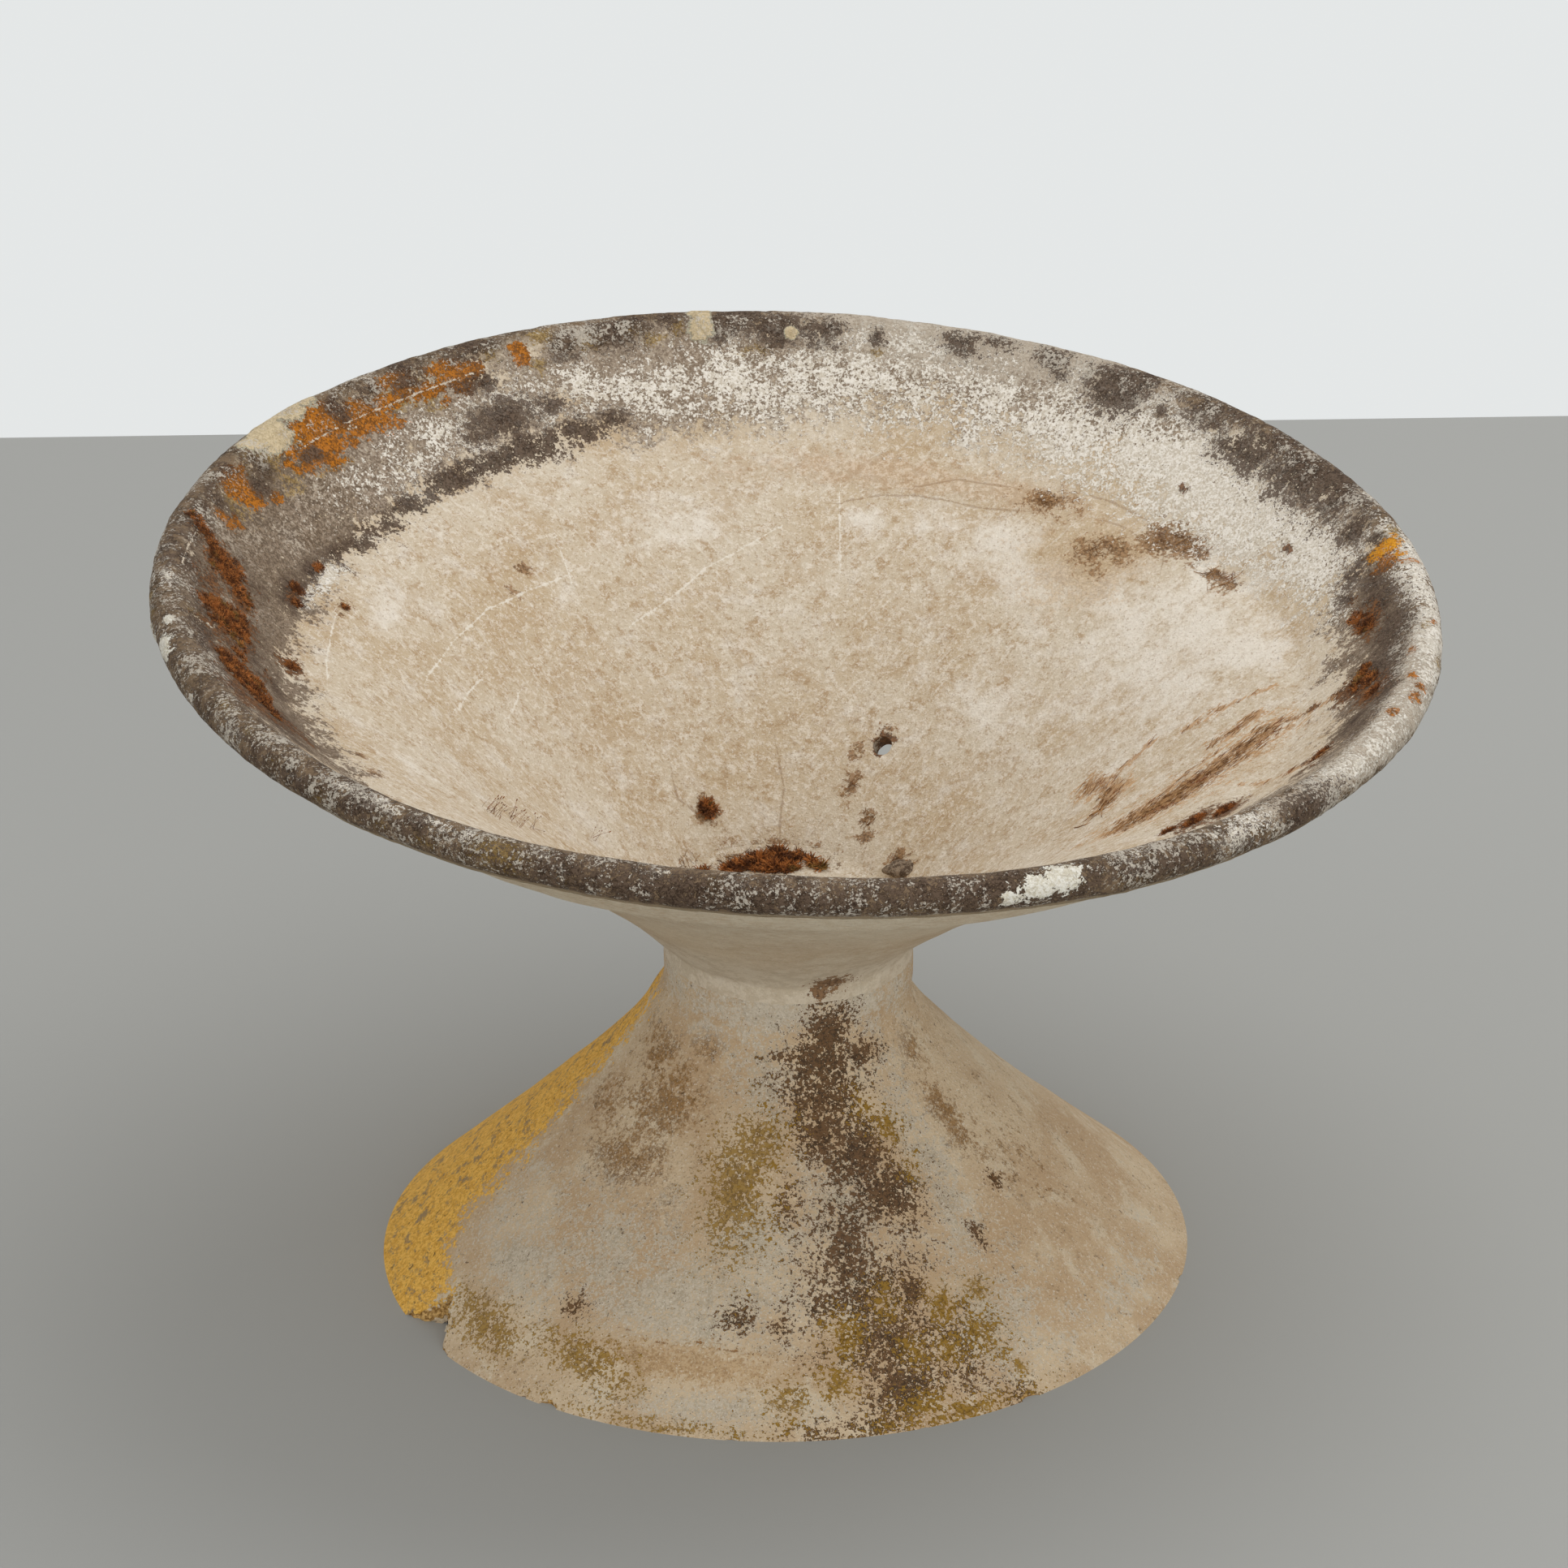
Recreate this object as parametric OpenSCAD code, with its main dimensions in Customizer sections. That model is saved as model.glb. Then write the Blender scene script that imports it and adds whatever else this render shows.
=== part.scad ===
// Bowl planter of hand-moulded fibre cement, in the shape of a low hourglass.
// A shallow bowl and a hollow flared foot meet at a narrow neck. Both are moulded
// from sheet of one thickness. A strip folded over the bowl's edge makes the thick
// rim, a lining inside the neck laps over the joint, and a plug closes the throat.
// The bowl leans a little on its foot, as such a hand-set joint does.
// The origin is the middle of the planter's overall outline, on the floor.

/* [Bowl] */
// Diameter over the rim
rim_d = 800; // [680:10:1000]
// Height of the rim's widest line above the joint in the neck
bowl_h = 244; // [210:2:320]
// Diameter of the inner crease, where the pan turns up into the band
crease_d = 628; // [560:2:650]
// Depth of that crease below the rim's widest line
crease_depth = 47; // [36:1:70]
// Radius of the inner crease
crease_r = 35; // [15:1:50]
// Slope of the pan at the crease, from level
pan_slope = 17; // [8:1:26]
// Length over which the pan eases into that slope
pan_ease = 57; // [30:1:90]
// Length over which the underside turns out of the neck
throat_ease = 6; // [4:1:40]

/* [Sheet] */
// Thickness of the moulded sheet of bowl and foot
wall = 12; // [8:0.5:15]

/* [Rim] */
// Thickness of the rim over its fold
rim_t = 24; // [20:1:32]
// Length of the folded strip down the inside of the band
lap_in = 19; // [12:1:40]
// Length of the folded strip down the outside
lap_out = 10; // [4:1:24]

/* [Neck] */
// Diameter of the neck
neck_d = 157; // [120:1:200]
// Length of the straight part of the neck
neck_l = 34; // [12:1:50]
// Thickness of the lining that laps over the joint
lining_t = 9; // [5:0.5:14]
// Height of the plug that closes the throat
plug_h = 14; // [10:1:36]

/* [Foot] */
// Diameter of the foot on the floor
base_d = 513; // [420:1:620]
// Height of the joint in the neck above the floor
foot_h = 212; // [180:1:280]
// Slope of the foot at the floor, from level
foot_slope = 42; // [34:1:55]
// Length over which the foot leaves the floor at that slope
foot_ease = 144; // [60:1:160]
// Length over which the foot turns up into the neck
neck_ease = 32; // [16:1:80]

/* [Lean] */
// Lean of the bowl to the right
lean_right = 3; // [0:0.5:5]
// Lean of the bowl to the front
lean_front = 2; // [0:0.5:5]

/* [Drain hole] */
// Diameter of the hole drilled through the pan
drain_d = 14; // [8:1:24]
// Place of the hole along the pan, from neck (0) to crease (1)
drain_place = 0.36; // [0.25:0.01:0.8]
// Turn of the hole about the bowl's axis, 90 being the back
drain_turn = 62; // [0:1:359]

/* [Broken edge] */
// Length of the piece broken out of the foot's edge
notch_l = 56; // [30:1:90]
// How far the break reaches in from the edge
notch_in = 21; // [8:1:30]
// Turn of the break's deepest point, 270 being the front
notch_turn = 206; // [0:1:359]
// Length of the small chips in the foot's edge
chip_l = 15; // [8:1:30]
// How far the small chips reach in from the edge
chip_in = 4; // [2:0.5:8]
// Turns of the small chips, 270 being the front
chip_turns = [234, 306];

/* [Hidden] */
$fn = 96;

steps = 16;      // lines along each long curve
turn_steps = 5;  // lines round the crease
rim_steps = 14;  // lines round the rim
clear = 1;       // how far a cutter runs past what it cuts

neck_r = neck_d / 2;
throat_r = neck_r - wall;
base_r = base_d / 2;
rim_r = rim_t / 2;
tongue = wall / 2; // the band is thinned to this under the inner lap

cement = [0.76, 0.69, 0.59];
foot_tan = [0.68, 0.59, 0.48];
rim_grey = [0.47, 0.43, 0.38];
mortar = [0.62, 0.58, 0.52];

// A vector's direction, and the direction to its left
function unit(v) = v / norm(v);
function left(v) = [-v[1], v[0]];
function heading(a) = [cos(a), sin(a)];

// A cubic curve through p[0] and p[3], steered by p[1] and p[2]
function on_curve(p, t) = pow(1 - t, 3) * p[0] + 3 * pow(1 - t, 2) * t * p[1]
    + 3 * (1 - t) * t * t * p[2] + pow(t, 3) * p[3];
function along(p, t) = pow(1 - t, 2) * (p[1] - p[0]) + 2 * (1 - t) * t * (p[2] - p[1])
    + t * t * (p[3] - p[2]);

// The same curve moved d to its left, from t = from to t = to
function beside(p, d, from = 0, to = 1) = [for (i = [0 : steps])
    let (t = from + (to - from) * i / steps) on_curve(p, t) + d * left(unit(along(p, t)))];
function reversed(list) = [for (i = [len(list) - 1 : -1 : 0]) list[i]];
function arc(centre, r, from, to, n) = [for (i = [0 : n])
    centre + r * heading(from + (to - from) * i / n)];

// Half section of the bowl: radius, and height above the joint along its own axis
rim_centre = [rim_d / 2 - rim_r, bowl_h];
crease = [crease_d / 2, bowl_h - crease_depth];
to_rim = rim_centre - crease;
band_slope = atan2(to_rim[1], to_rim[0]) + asin(rim_r / norm(to_rim));
up_band = heading(band_slope);
off_band = left(up_band);
off_pan = left(heading(pan_slope));
crease_centre = crease + crease_r * (off_pan + off_band) / (1 + off_pan * off_band);
under_r = crease_r + wall;
pan_end = crease_centre - under_r * off_pan;
neck_top = [neck_r, neck_l / 2];
pan = [neck_top, neck_top + [0, throat_ease], pan_end - pan_ease * heading(pan_slope), pan_end];

// A place beside the band: s up its slope and d in from the rim's centre
function by_band(s, d) = rim_centre + s * up_band + d * off_band;
inner_d = rim_r;            // the band's inner face
outer_d = rim_r - wall;     // its outer face
tongue_d = outer_d + tongue;

// Half section of the foot: radius, and height above the floor
base = [base_r, 0];
neck_foot = [neck_r, foot_h - neck_l / 2];
skirt = [base, base + foot_ease * heading(180 - foot_slope), neck_foot - [0, neck_ease], neck_foot];
lining_from = 0.82; // the lining starts this far up the skirt's curve

// The bowl's frame: its axis leans, and it turns about the middle of the joint.
// Everything is moved so that the rim's outline is centred over the origin.
lean = norm([lean_right, lean_front]);
lean_way = lean > 0 ? [lean_right, -lean_front] / lean : [1, 0];
rim_shift = bowl_h * sin(lean) * [lean_way[0], lean_way[1], 0];
module in_place() { translate(-rim_shift) children(); }
module on_joint(share = 1) {
    translate([0, 0, foot_h]) rotate(share * lean, [-lean_way[1], lean_way[0], 0]) children();
}

// The joint is a mitre: bowl and foot are both cut at half the lean
module above_joint() {
    on_joint(0.5) cylinder(r = base_r, h = bowl_h);
}
module below_joint() {
    on_joint(0.5) translate([0, 0, -foot_h]) cylinder(r = base_r, h = foot_h);
}
over_joint = neck_r * tan(lean) + clear; // what each side is long before that cut

// Pan and band in one sheet, thinned at the top to take the rim strip
module bowl_shell() {
    outer = concat(
        [[neck_r, -over_joint]],
        beside(pan, 0),
        arc(crease_centre, under_r, pan_slope - 90, band_slope - 90, turn_steps),
        [by_band(0, outer_d), by_band(0, tongue_d)]
    );
    inner = concat(
        [by_band(-lap_in, tongue_d), by_band(-lap_in, inner_d)],
        arc(crease_centre, crease_r, band_slope - 90, pan_slope - 90, turn_steps),
        reversed(beside(pan, wall)),
        [[throat_r, -over_joint]]
    );
    color(cement) in_place() difference() {
        on_joint() rotate_extrude() polygon(concat(outer, inner));
        on_joint() drain_hole();
        below_joint();
    }
}

// Drilled square to the pan
module drain_hole() {
    way = unit(along(pan, drain_place));
    tilt = atan2(way[1], way[0]);
    at = on_curve(pan, drain_place);
    rotate([0, 0, drain_turn]) translate([at[0], 0, at[1]]) rotate([0, -tilt, 0])
        translate([0, 0, -wall / 2]) cylinder(d = drain_d, h = 2 * wall);
}

// A strip of the same sheet folded over the band's edge, flush with it inside
module rim_strip() {
    fold = arc(rim_centre, rim_r, band_slope + 90, band_slope - 90, rim_steps);
    legs = [
        by_band(-lap_out, -rim_r), by_band(-lap_out, outer_d),
        by_band(0, outer_d), by_band(0, tongue_d),
        by_band(-lap_in, tongue_d), by_band(-lap_in, inner_d)
    ];
    color(rim_grey) in_place() on_joint() rotate_extrude() polygon(concat(fold, legs));
}

// Bedded on the lining, it closes the throat and is the floor of the bowl
module throat_plug() {
    share = plug_share();
    edge = beside(pan, wall, 0, share);
    top = edge[len(edge) - 1];
    color(mortar) in_place() on_joint() rotate_extrude()
        polygon(concat([[0, edge[0][1]]], edge, [[0, top[1]]]));
}

// How far along the pan its inner face has climbed by the plug's height
function plug_share(low = 0, high = 1, n = 24) = n == 0 ? (low + high) / 2 :
    let (mid = (low + high) / 2, p = on_curve(pan, mid) + wall * left(unit(along(pan, mid))))
    p[1] < neck_top[1] + plug_h ? plug_share(mid, high, n - 1) : plug_share(low, mid, n - 1);

// A lapped strip inside the neck, from below the joint up to the plug
module neck_lining() {
    face = beside(skirt, wall, lining_from, 1);
    back = beside(skirt, wall + lining_t, lining_from, 1);
    top = foot_h + over_joint;
    color(mortar) in_place() union() {
        difference() {
            rotate_extrude() polygon(concat(
                face, [[throat_r, top], [throat_r - lining_t, top]], reversed(back)));
            above_joint();
        }
        difference() {
            on_joint() rotate_extrude() translate([throat_r - lining_t, -over_joint])
                square([lining_t, over_joint + neck_l / 2]);
            below_joint();
        }
    }
}

// The hollow flared foot, open below, with its broken edge
module foot_shell() {
    top = foot_h + over_joint;
    section = concat(beside(skirt, 0), [[neck_r, top], [throat_r, top]], reversed(beside(skirt, wall)));
    color(foot_tan) in_place() difference() {
        rotate_extrude() polygon(section);
        above_joint();
        below_floor();
        broken_piece();
        for (turn = chip_turns) chip(turn);
    }
}

module below_floor() {
    translate([0, 0, -wall * 4]) cylinder(r = base_r + wall, h = wall * 4);
}

// Stands an outline on the foot's edge, out along X and round along Y, and cuts upright
module through_edge(turn) {
    rotate([0, 0, turn]) translate([base_r, 0, -clear])
        linear_extrude(height = foot_h / 2) children();
}

// The skirt's thin toe is gone here: the break runs in to its deepest point in ragged
// steps and out again, so an upright face shows from the floor up to the outer skin
module broken_piece() {
    through_edge(notch_turn) polygon([
        [wall, -0.46 * notch_l], [-0.05 * notch_in, -0.46 * notch_l],
        [-0.3 * notch_in, -0.3 * notch_l], [-0.38 * notch_in, -0.21 * notch_l],
        [-0.9 * notch_in, -0.07 * notch_l], [-notch_in, 0],
        [-0.72 * notch_in, 0.11 * notch_l], [-0.74 * notch_in, 0.17 * notch_l],
        [-0.45 * notch_in, 0.31 * notch_l], [wall, 0.54 * notch_l]
    ]);
}

module chip(turn) {
    through_edge(turn) polygon([
        [wall, -chip_l / 2], [0, -chip_l / 2], [-0.7 * chip_in, -chip_l / 4],
        [-chip_in, chip_l / 6], [0, chip_l / 2], [wall, chip_l / 2]
    ]);
}

bowl_shell();
rim_strip();
throat_plug();
neck_lining();
foot_shell();
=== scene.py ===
import math
import random

import bpy
import numpy as np
from mathutils import Matrix, Vector
from mathutils.bvhtree import BVHTree


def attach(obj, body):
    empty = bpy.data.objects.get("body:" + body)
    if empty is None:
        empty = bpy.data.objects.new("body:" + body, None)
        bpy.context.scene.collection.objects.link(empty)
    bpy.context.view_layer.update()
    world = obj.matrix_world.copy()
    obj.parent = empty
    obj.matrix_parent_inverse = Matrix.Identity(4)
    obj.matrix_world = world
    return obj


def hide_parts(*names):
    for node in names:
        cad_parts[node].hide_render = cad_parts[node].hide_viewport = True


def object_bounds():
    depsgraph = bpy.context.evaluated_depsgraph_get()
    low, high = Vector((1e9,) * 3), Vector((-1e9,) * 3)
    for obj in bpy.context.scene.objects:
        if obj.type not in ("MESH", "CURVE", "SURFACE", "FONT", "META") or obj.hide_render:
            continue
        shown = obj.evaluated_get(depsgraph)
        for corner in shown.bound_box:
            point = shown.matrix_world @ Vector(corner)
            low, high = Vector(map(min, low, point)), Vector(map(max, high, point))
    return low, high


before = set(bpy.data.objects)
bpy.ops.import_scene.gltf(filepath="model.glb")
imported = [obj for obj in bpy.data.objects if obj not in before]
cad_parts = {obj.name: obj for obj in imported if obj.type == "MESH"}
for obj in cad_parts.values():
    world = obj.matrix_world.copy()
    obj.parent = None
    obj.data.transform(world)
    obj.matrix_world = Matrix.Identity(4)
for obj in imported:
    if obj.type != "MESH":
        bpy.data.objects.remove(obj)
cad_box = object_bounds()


# ---------------------------------------------------------------- Camera
# A long lens, about six metres off, looks down into the bowl from the front.
# It is rolled a little, as the picture is, and aims between bowl and foot.
MM = 0.001
CAMERA_AWAY = 6.078
CAMERA_DOWN = math.radians(26.2)
CAMERA_ROLL = math.radians(-0.8)
CAMERA_AIM = Vector((-9.57, 8.51, 324.8)) * MM
CAMERA_LENS = 223.6
SENSOR_WIDTH = 36
SEES_AS_FAR_AS = 60


def choose(*pieces):
    """Selects these pieces alone, or nothing at all, and makes the first of them active."""
    bpy.ops.object.select_all(action="DESELECT")
    for piece in pieces:
        piece.select_set(True)
    if pieces:
        bpy.context.view_layer.objects.active = pieces[0]


ahead = Vector((0, math.cos(CAMERA_DOWN), -math.sin(CAMERA_DOWN)))
level = Vector((1, 0, 0))
upward = level.cross(ahead)
side = math.cos(CAMERA_ROLL) * level + math.sin(CAMERA_ROLL) * upward
top = math.cos(CAMERA_ROLL) * upward - math.sin(CAMERA_ROLL) * level
choose()
bpy.ops.object.camera_add()
camera = bpy.context.object
camera.matrix_world = Matrix.Translation(CAMERA_AIM - CAMERA_AWAY * ahead) @ Matrix(
    (side, top, -ahead)).transposed().to_4x4()
camera.data.sensor_width = SENSOR_WIDTH
camera.data.lens = CAMERA_LENS
camera.data.clip_end = SEES_AS_FAR_AS
bpy.context.scene.camera = camera


# ---------------------------------------------------------------- Floor and wall
# A plain grey floor runs back to a plain white wall, which stands square to the view.
# The wall only shows from the front, so that it hides nothing from other sides.
FLOOR_GREY = (0.37, 0.372, 0.355)
WALL_WHITE = (0.78, 0.80, 0.80)
WALL_AT = 1.28
ROOM_SIZE = 60


def plain(name, colour):
    material = bpy.data.materials.new(name)
    material.use_nodes = True
    skin = material.node_tree.nodes["Principled BSDF"]
    skin.inputs["Base Color"].default_value = (*colour, 1)
    skin.inputs["Roughness"].default_value = 0.85
    skin.inputs["Specular IOR Level"].default_value = 0.2
    return material


choose()
bpy.ops.mesh.primitive_plane_add(size=ROOM_SIZE, location=(0, 0, 0))
floor = bpy.context.object
floor.name = "floor"
floor.data.materials.append(plain("floor_grey", FLOOR_GREY))

choose()
bpy.ops.mesh.primitive_plane_add(size=ROOM_SIZE, location=(0, WALL_AT, ROOM_SIZE / 2),
                                 rotation=(math.pi / 2, 0, 0))
wall = bpy.context.object
wall.name = "wall"
wall_paint = bpy.data.materials.new("wall_white")
wall_paint.use_nodes = True
tree = wall_paint.node_tree
tree.nodes.clear()
lit = tree.nodes.new("ShaderNodeEmission")
lit.inputs["Color"].default_value = (*WALL_WHITE, 1)
clear = tree.nodes.new("ShaderNodeBsdfTransparent")
which = tree.nodes.new("ShaderNodeMixShader")
behind = tree.nodes.new("ShaderNodeNewGeometry")
out = tree.nodes.new("ShaderNodeOutputMaterial")
tree.links.new(behind.outputs["Backfacing"], which.inputs["Fac"])
tree.links.new(lit.outputs["Emission"], which.inputs[1])
tree.links.new(clear.outputs["BSDF"], which.inputs[2])
tree.links.new(which.outputs["Shader"], out.inputs["Surface"])
wall.data.materials.append(wall_paint)
wall.visible_diffuse = wall.visible_glossy = wall.visible_shadow = False


# ---------------------------------------------------------------- Light
# Soft studio light: a pale room all round, a broad lamp above on the right and a low
# one in front, together at the level where a colour renders as it is written.
LAMPS_AIM = Vector((0, 0, 0.3))
ROOM_LIGHT = 0.74


def soft_lamp(name, place, size, watts):
    choose()
    bpy.ops.object.light_add(type="AREA", location=place)
    lamp = bpy.context.object
    lamp.name = name
    lamp.data.shape = "DISK"
    lamp.data.size = size
    lamp.data.energy = watts
    lamp.rotation_euler = (LAMPS_AIM - Vector(place)).to_track_quat("-Z", "Y").to_euler()


soft_lamp("lamp_overhead", (1.1, 0.7, 3.4), size=3.4, watts=44)
soft_lamp("lamp_front", (0.8, -4.6, 1.3), size=3.6, watts=66)
room = bpy.data.worlds.new("pale_room")
room.use_nodes = True
room.node_tree.nodes["Background"].inputs["Color"].default_value = (1, 1, 1, 1)
room.node_tree.nodes["Background"].inputs["Strength"].default_value = ROOM_LIGHT
bpy.context.scene.world = room
bpy.context.scene.view_settings.view_transform = "Standard"


# ---------------------------------------------------------------- Foot
# The hollow flared foot: fibre cement moulded by hand over a form, one sheet about
# 12 mm thick from the floor up to the neck. Its edge is broken on the left.
FOOT_PLACE = Vector((-12.77, 8.51, 0))
JOINT_HEIGHT = 212
LEAN = math.radians(3.606)
LEAN_WAY = Vector((0.832, -0.555, 0))
LEAN_AXIS = Vector((-LEAN_WAY.y, LEAN_WAY.x, 0))
NECK_RADIUS = 78.5
NECK_NUDGE = 4.5
SHEET = 12
SKIRT = ((256.5, 0), (149.5, 96.4), (78.5, 163), (78.5, 195))
SKIRT_SLOPE = math.radians(42)
# how a painted patch reads where there is none, and a painted distance where there is no line
CLEAN = -4
FAR_OFF = 999.0
# into how many steps a weight from 0 to 1 is sorted
GRADES = 20


def cubic(p, steps):
    points = []
    for i in range(steps + 1):
        t = i / steps
        share = ((1 - t) ** 3, 3 * (1 - t) ** 2 * t, 3 * (1 - t) * t * t, t ** 3)
        points.append(tuple(sum(s * q[k] for s, q in zip(share, p)) for k in (0, 1)))
    return points


def beside(points, d):
    """The same line, moved d to its left."""
    moved = []
    for i, (r, z) in enumerate(points):
        a, b = points[max(i - 1, 0)], points[min(i + 1, len(points) - 1)]
        run, rise = b[0] - a[0], b[1] - a[1]
        long = math.hypot(run, rise)
        moved.append((r - d * rise / long, z + d * run / long))
    return moved


def finely(points, step):
    """The same line with a point at about every step."""
    line = [points[0]]
    for a, b in zip(points, points[1:]):
        n = max(1, round(math.dist(a, b) / step))
        line += [(a[0] + (b[0] - a[0]) * i / n, a[1] + (b[1] - a[1]) * i / n)
                 for i in range(1, n + 1)]
    return line


def turned(name, section, steps, shut=True):
    """Draws a half section edge by edge, spins it by a sixteenth turn and doubles that four times."""
    choose()
    r, z = section[0]
    bpy.ops.mesh.primitive_plane_add(size=MM, location=(r * MM, 0, z * MM))
    piece = bpy.context.object
    piece.name = piece.data.name = name
    bpy.ops.object.transform_apply(location=True, rotation=True, scale=True)
    bpy.ops.object.mode_set(mode="EDIT")
    bpy.ops.mesh.select_all(action="SELECT")
    bpy.ops.mesh.merge(type="CENTER")
    for a, b in zip(section, section[1:] + ([section[0]] if shut else [])):
        step = ((b[0] - a[0]) * MM, 0, (b[1] - a[1]) * MM)
        bpy.ops.mesh.extrude_region_move(TRANSFORM_OT_translate={"value": step})
    bpy.ops.mesh.select_all(action="SELECT")
    bpy.ops.mesh.remove_doubles(threshold=0.01 * MM)
    bpy.ops.mesh.select_all(action="SELECT")
    doublings = 4
    part = 2 ** doublings
    angle = 2 * math.pi / part
    bpy.ops.mesh.spin(steps=steps // part, angle=angle, center=(0, 0, 0), axis=(0, 0, 1))
    for doubling in range(doublings):
        bpy.ops.mesh.select_all(action="SELECT")
        bpy.ops.mesh.duplicate()
        bpy.ops.transform.rotate(value=angle * 2 ** doubling, orient_axis="Z",
                                 center_override=(0, 0, 0))
    bpy.ops.mesh.select_all(action="SELECT")
    bpy.ops.mesh.remove_doubles(threshold=0.01 * MM)
    bpy.ops.mesh.normals_make_consistent(inside=False)
    bpy.ops.object.mode_set(mode="OBJECT")
    return piece


def points_of(piece):
    """The vertices in millimetres."""
    flat = np.empty(len(piece.data.vertices) * 3)
    piece.data.vertices.foreach_get("co", flat)
    return flat.reshape(-1, 3) / MM


def put_points(piece, points):
    piece.data.vertices.foreach_set("co", (points * MM).ravel())
    piece.data.update()


def ramp(values, start, end):
    """0 up to the start and 1 from the end on, with an even climb between them."""
    return np.clip((values - start) / (end - start), 0, 1)


def eased(values, start, end):
    """The same climb with a soft start and end."""
    share = ramp(values, start, end)
    return share * share * (3 - 2 * share)


def settle(piece, change):
    """Makes a modifier's change to a piece lasting."""
    choose(piece)
    bpy.ops.object.modifier_apply(modifier=change.name)


def raised(piece, bump, weights):
    """Limits a bump to where the weights say."""
    group = piece.vertex_groups.new(name="raised")
    for grade in range(1, GRADES + 1):
        chosen = np.flatnonzero((weights * GRADES).round() == grade)
        group.add([int(i) for i in chosen], grade / GRADES, "REPLACE")
    bump.vertex_group = group.name


def swell(piece, size, height, weights=None, middle=0.5):
    """Lumps about size across that stand up to height out of the surface, where weights say."""
    lumps = bpy.data.textures.new(f"lumps_{size}", "CLOUDS")
    lumps.noise_scale = size * MM
    lumps.noise_depth = 3
    bump = piece.modifiers.new("lumps", "DISPLACE")
    bump.texture = lumps
    bump.texture_coords = "LOCAL"
    bump.strength = height * MM
    bump.mid_level = middle
    if weights is not None:
        raised(piece, bump, weights)
    settle(piece, bump)


def set_down(piece, move, lean=0):
    """Leans a piece that was made upright over its axis, and sets it in its place."""
    piece.matrix_world = Matrix.Translation(move * MM) @ Matrix.Rotation(lean, 4, LEAN_AXIS)
    choose(piece)
    bpy.ops.object.transform_apply(location=True, rotation=True, scale=True)


def mitre(piece, start, end, way):
    """Tilts the end of an upright piece by half the lean, as the next piece is tilted to meet it."""
    points = points_of(piece)
    along = points[:, 0] * LEAN_WAY.x + points[:, 1] * LEAN_WAY.y
    points[:, 2] += way * ramp(points[:, 2], start, end) * math.tan(LEAN / 2) * along
    put_points(piece, points)
    return points


def nudge_neck(piece):
    """The neck, 196 to 220 mm up, stands a little to the right of the bowl and foot it joins."""
    points = points_of(piece)
    height = points[:, 2]
    points[:, 0] += NECK_NUDGE * eased(height, 176, 196) * eased(height, 238, 220)
    put_points(piece, points)


def turn_of(points):
    return np.degrees(np.arctan2(points[:, 1], points[:, 0])) % 360


def patches(turn, reach, spots, radius=None):
    """How deep each point lies in oval patches: a patch's strength in its middle, 1 less at its edge."""
    depth = np.full(len(turn), float(CLEAN))
    around = reach if radius is None else radius
    for spot_turn, spot_reach, along, across, strength in spots:
        off = (turn - spot_turn + 180) % 360 - 180
        far = np.hypot(np.radians(off) * around / along, (reach - spot_reach) / across)
        depth = np.maximum(depth, strength - far)
    return depth


def stain(piece, name, values):
    """Keeps a painted value on the vertices, for the material to read."""
    layer = piece.data.attributes.new(name, "FLOAT", "POINT")
    layer.data.foreach_set("value", np.ascontiguousarray(values, dtype=np.float32))


def linear(r, g, b):
    """A colour from its usual 0 to 255 values."""
    return tuple(((v / 255 + 0.055) / 1.055) ** 2.4 if v > 10 else v / 255 / 12.92
                 for v in (r, g, b))


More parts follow.
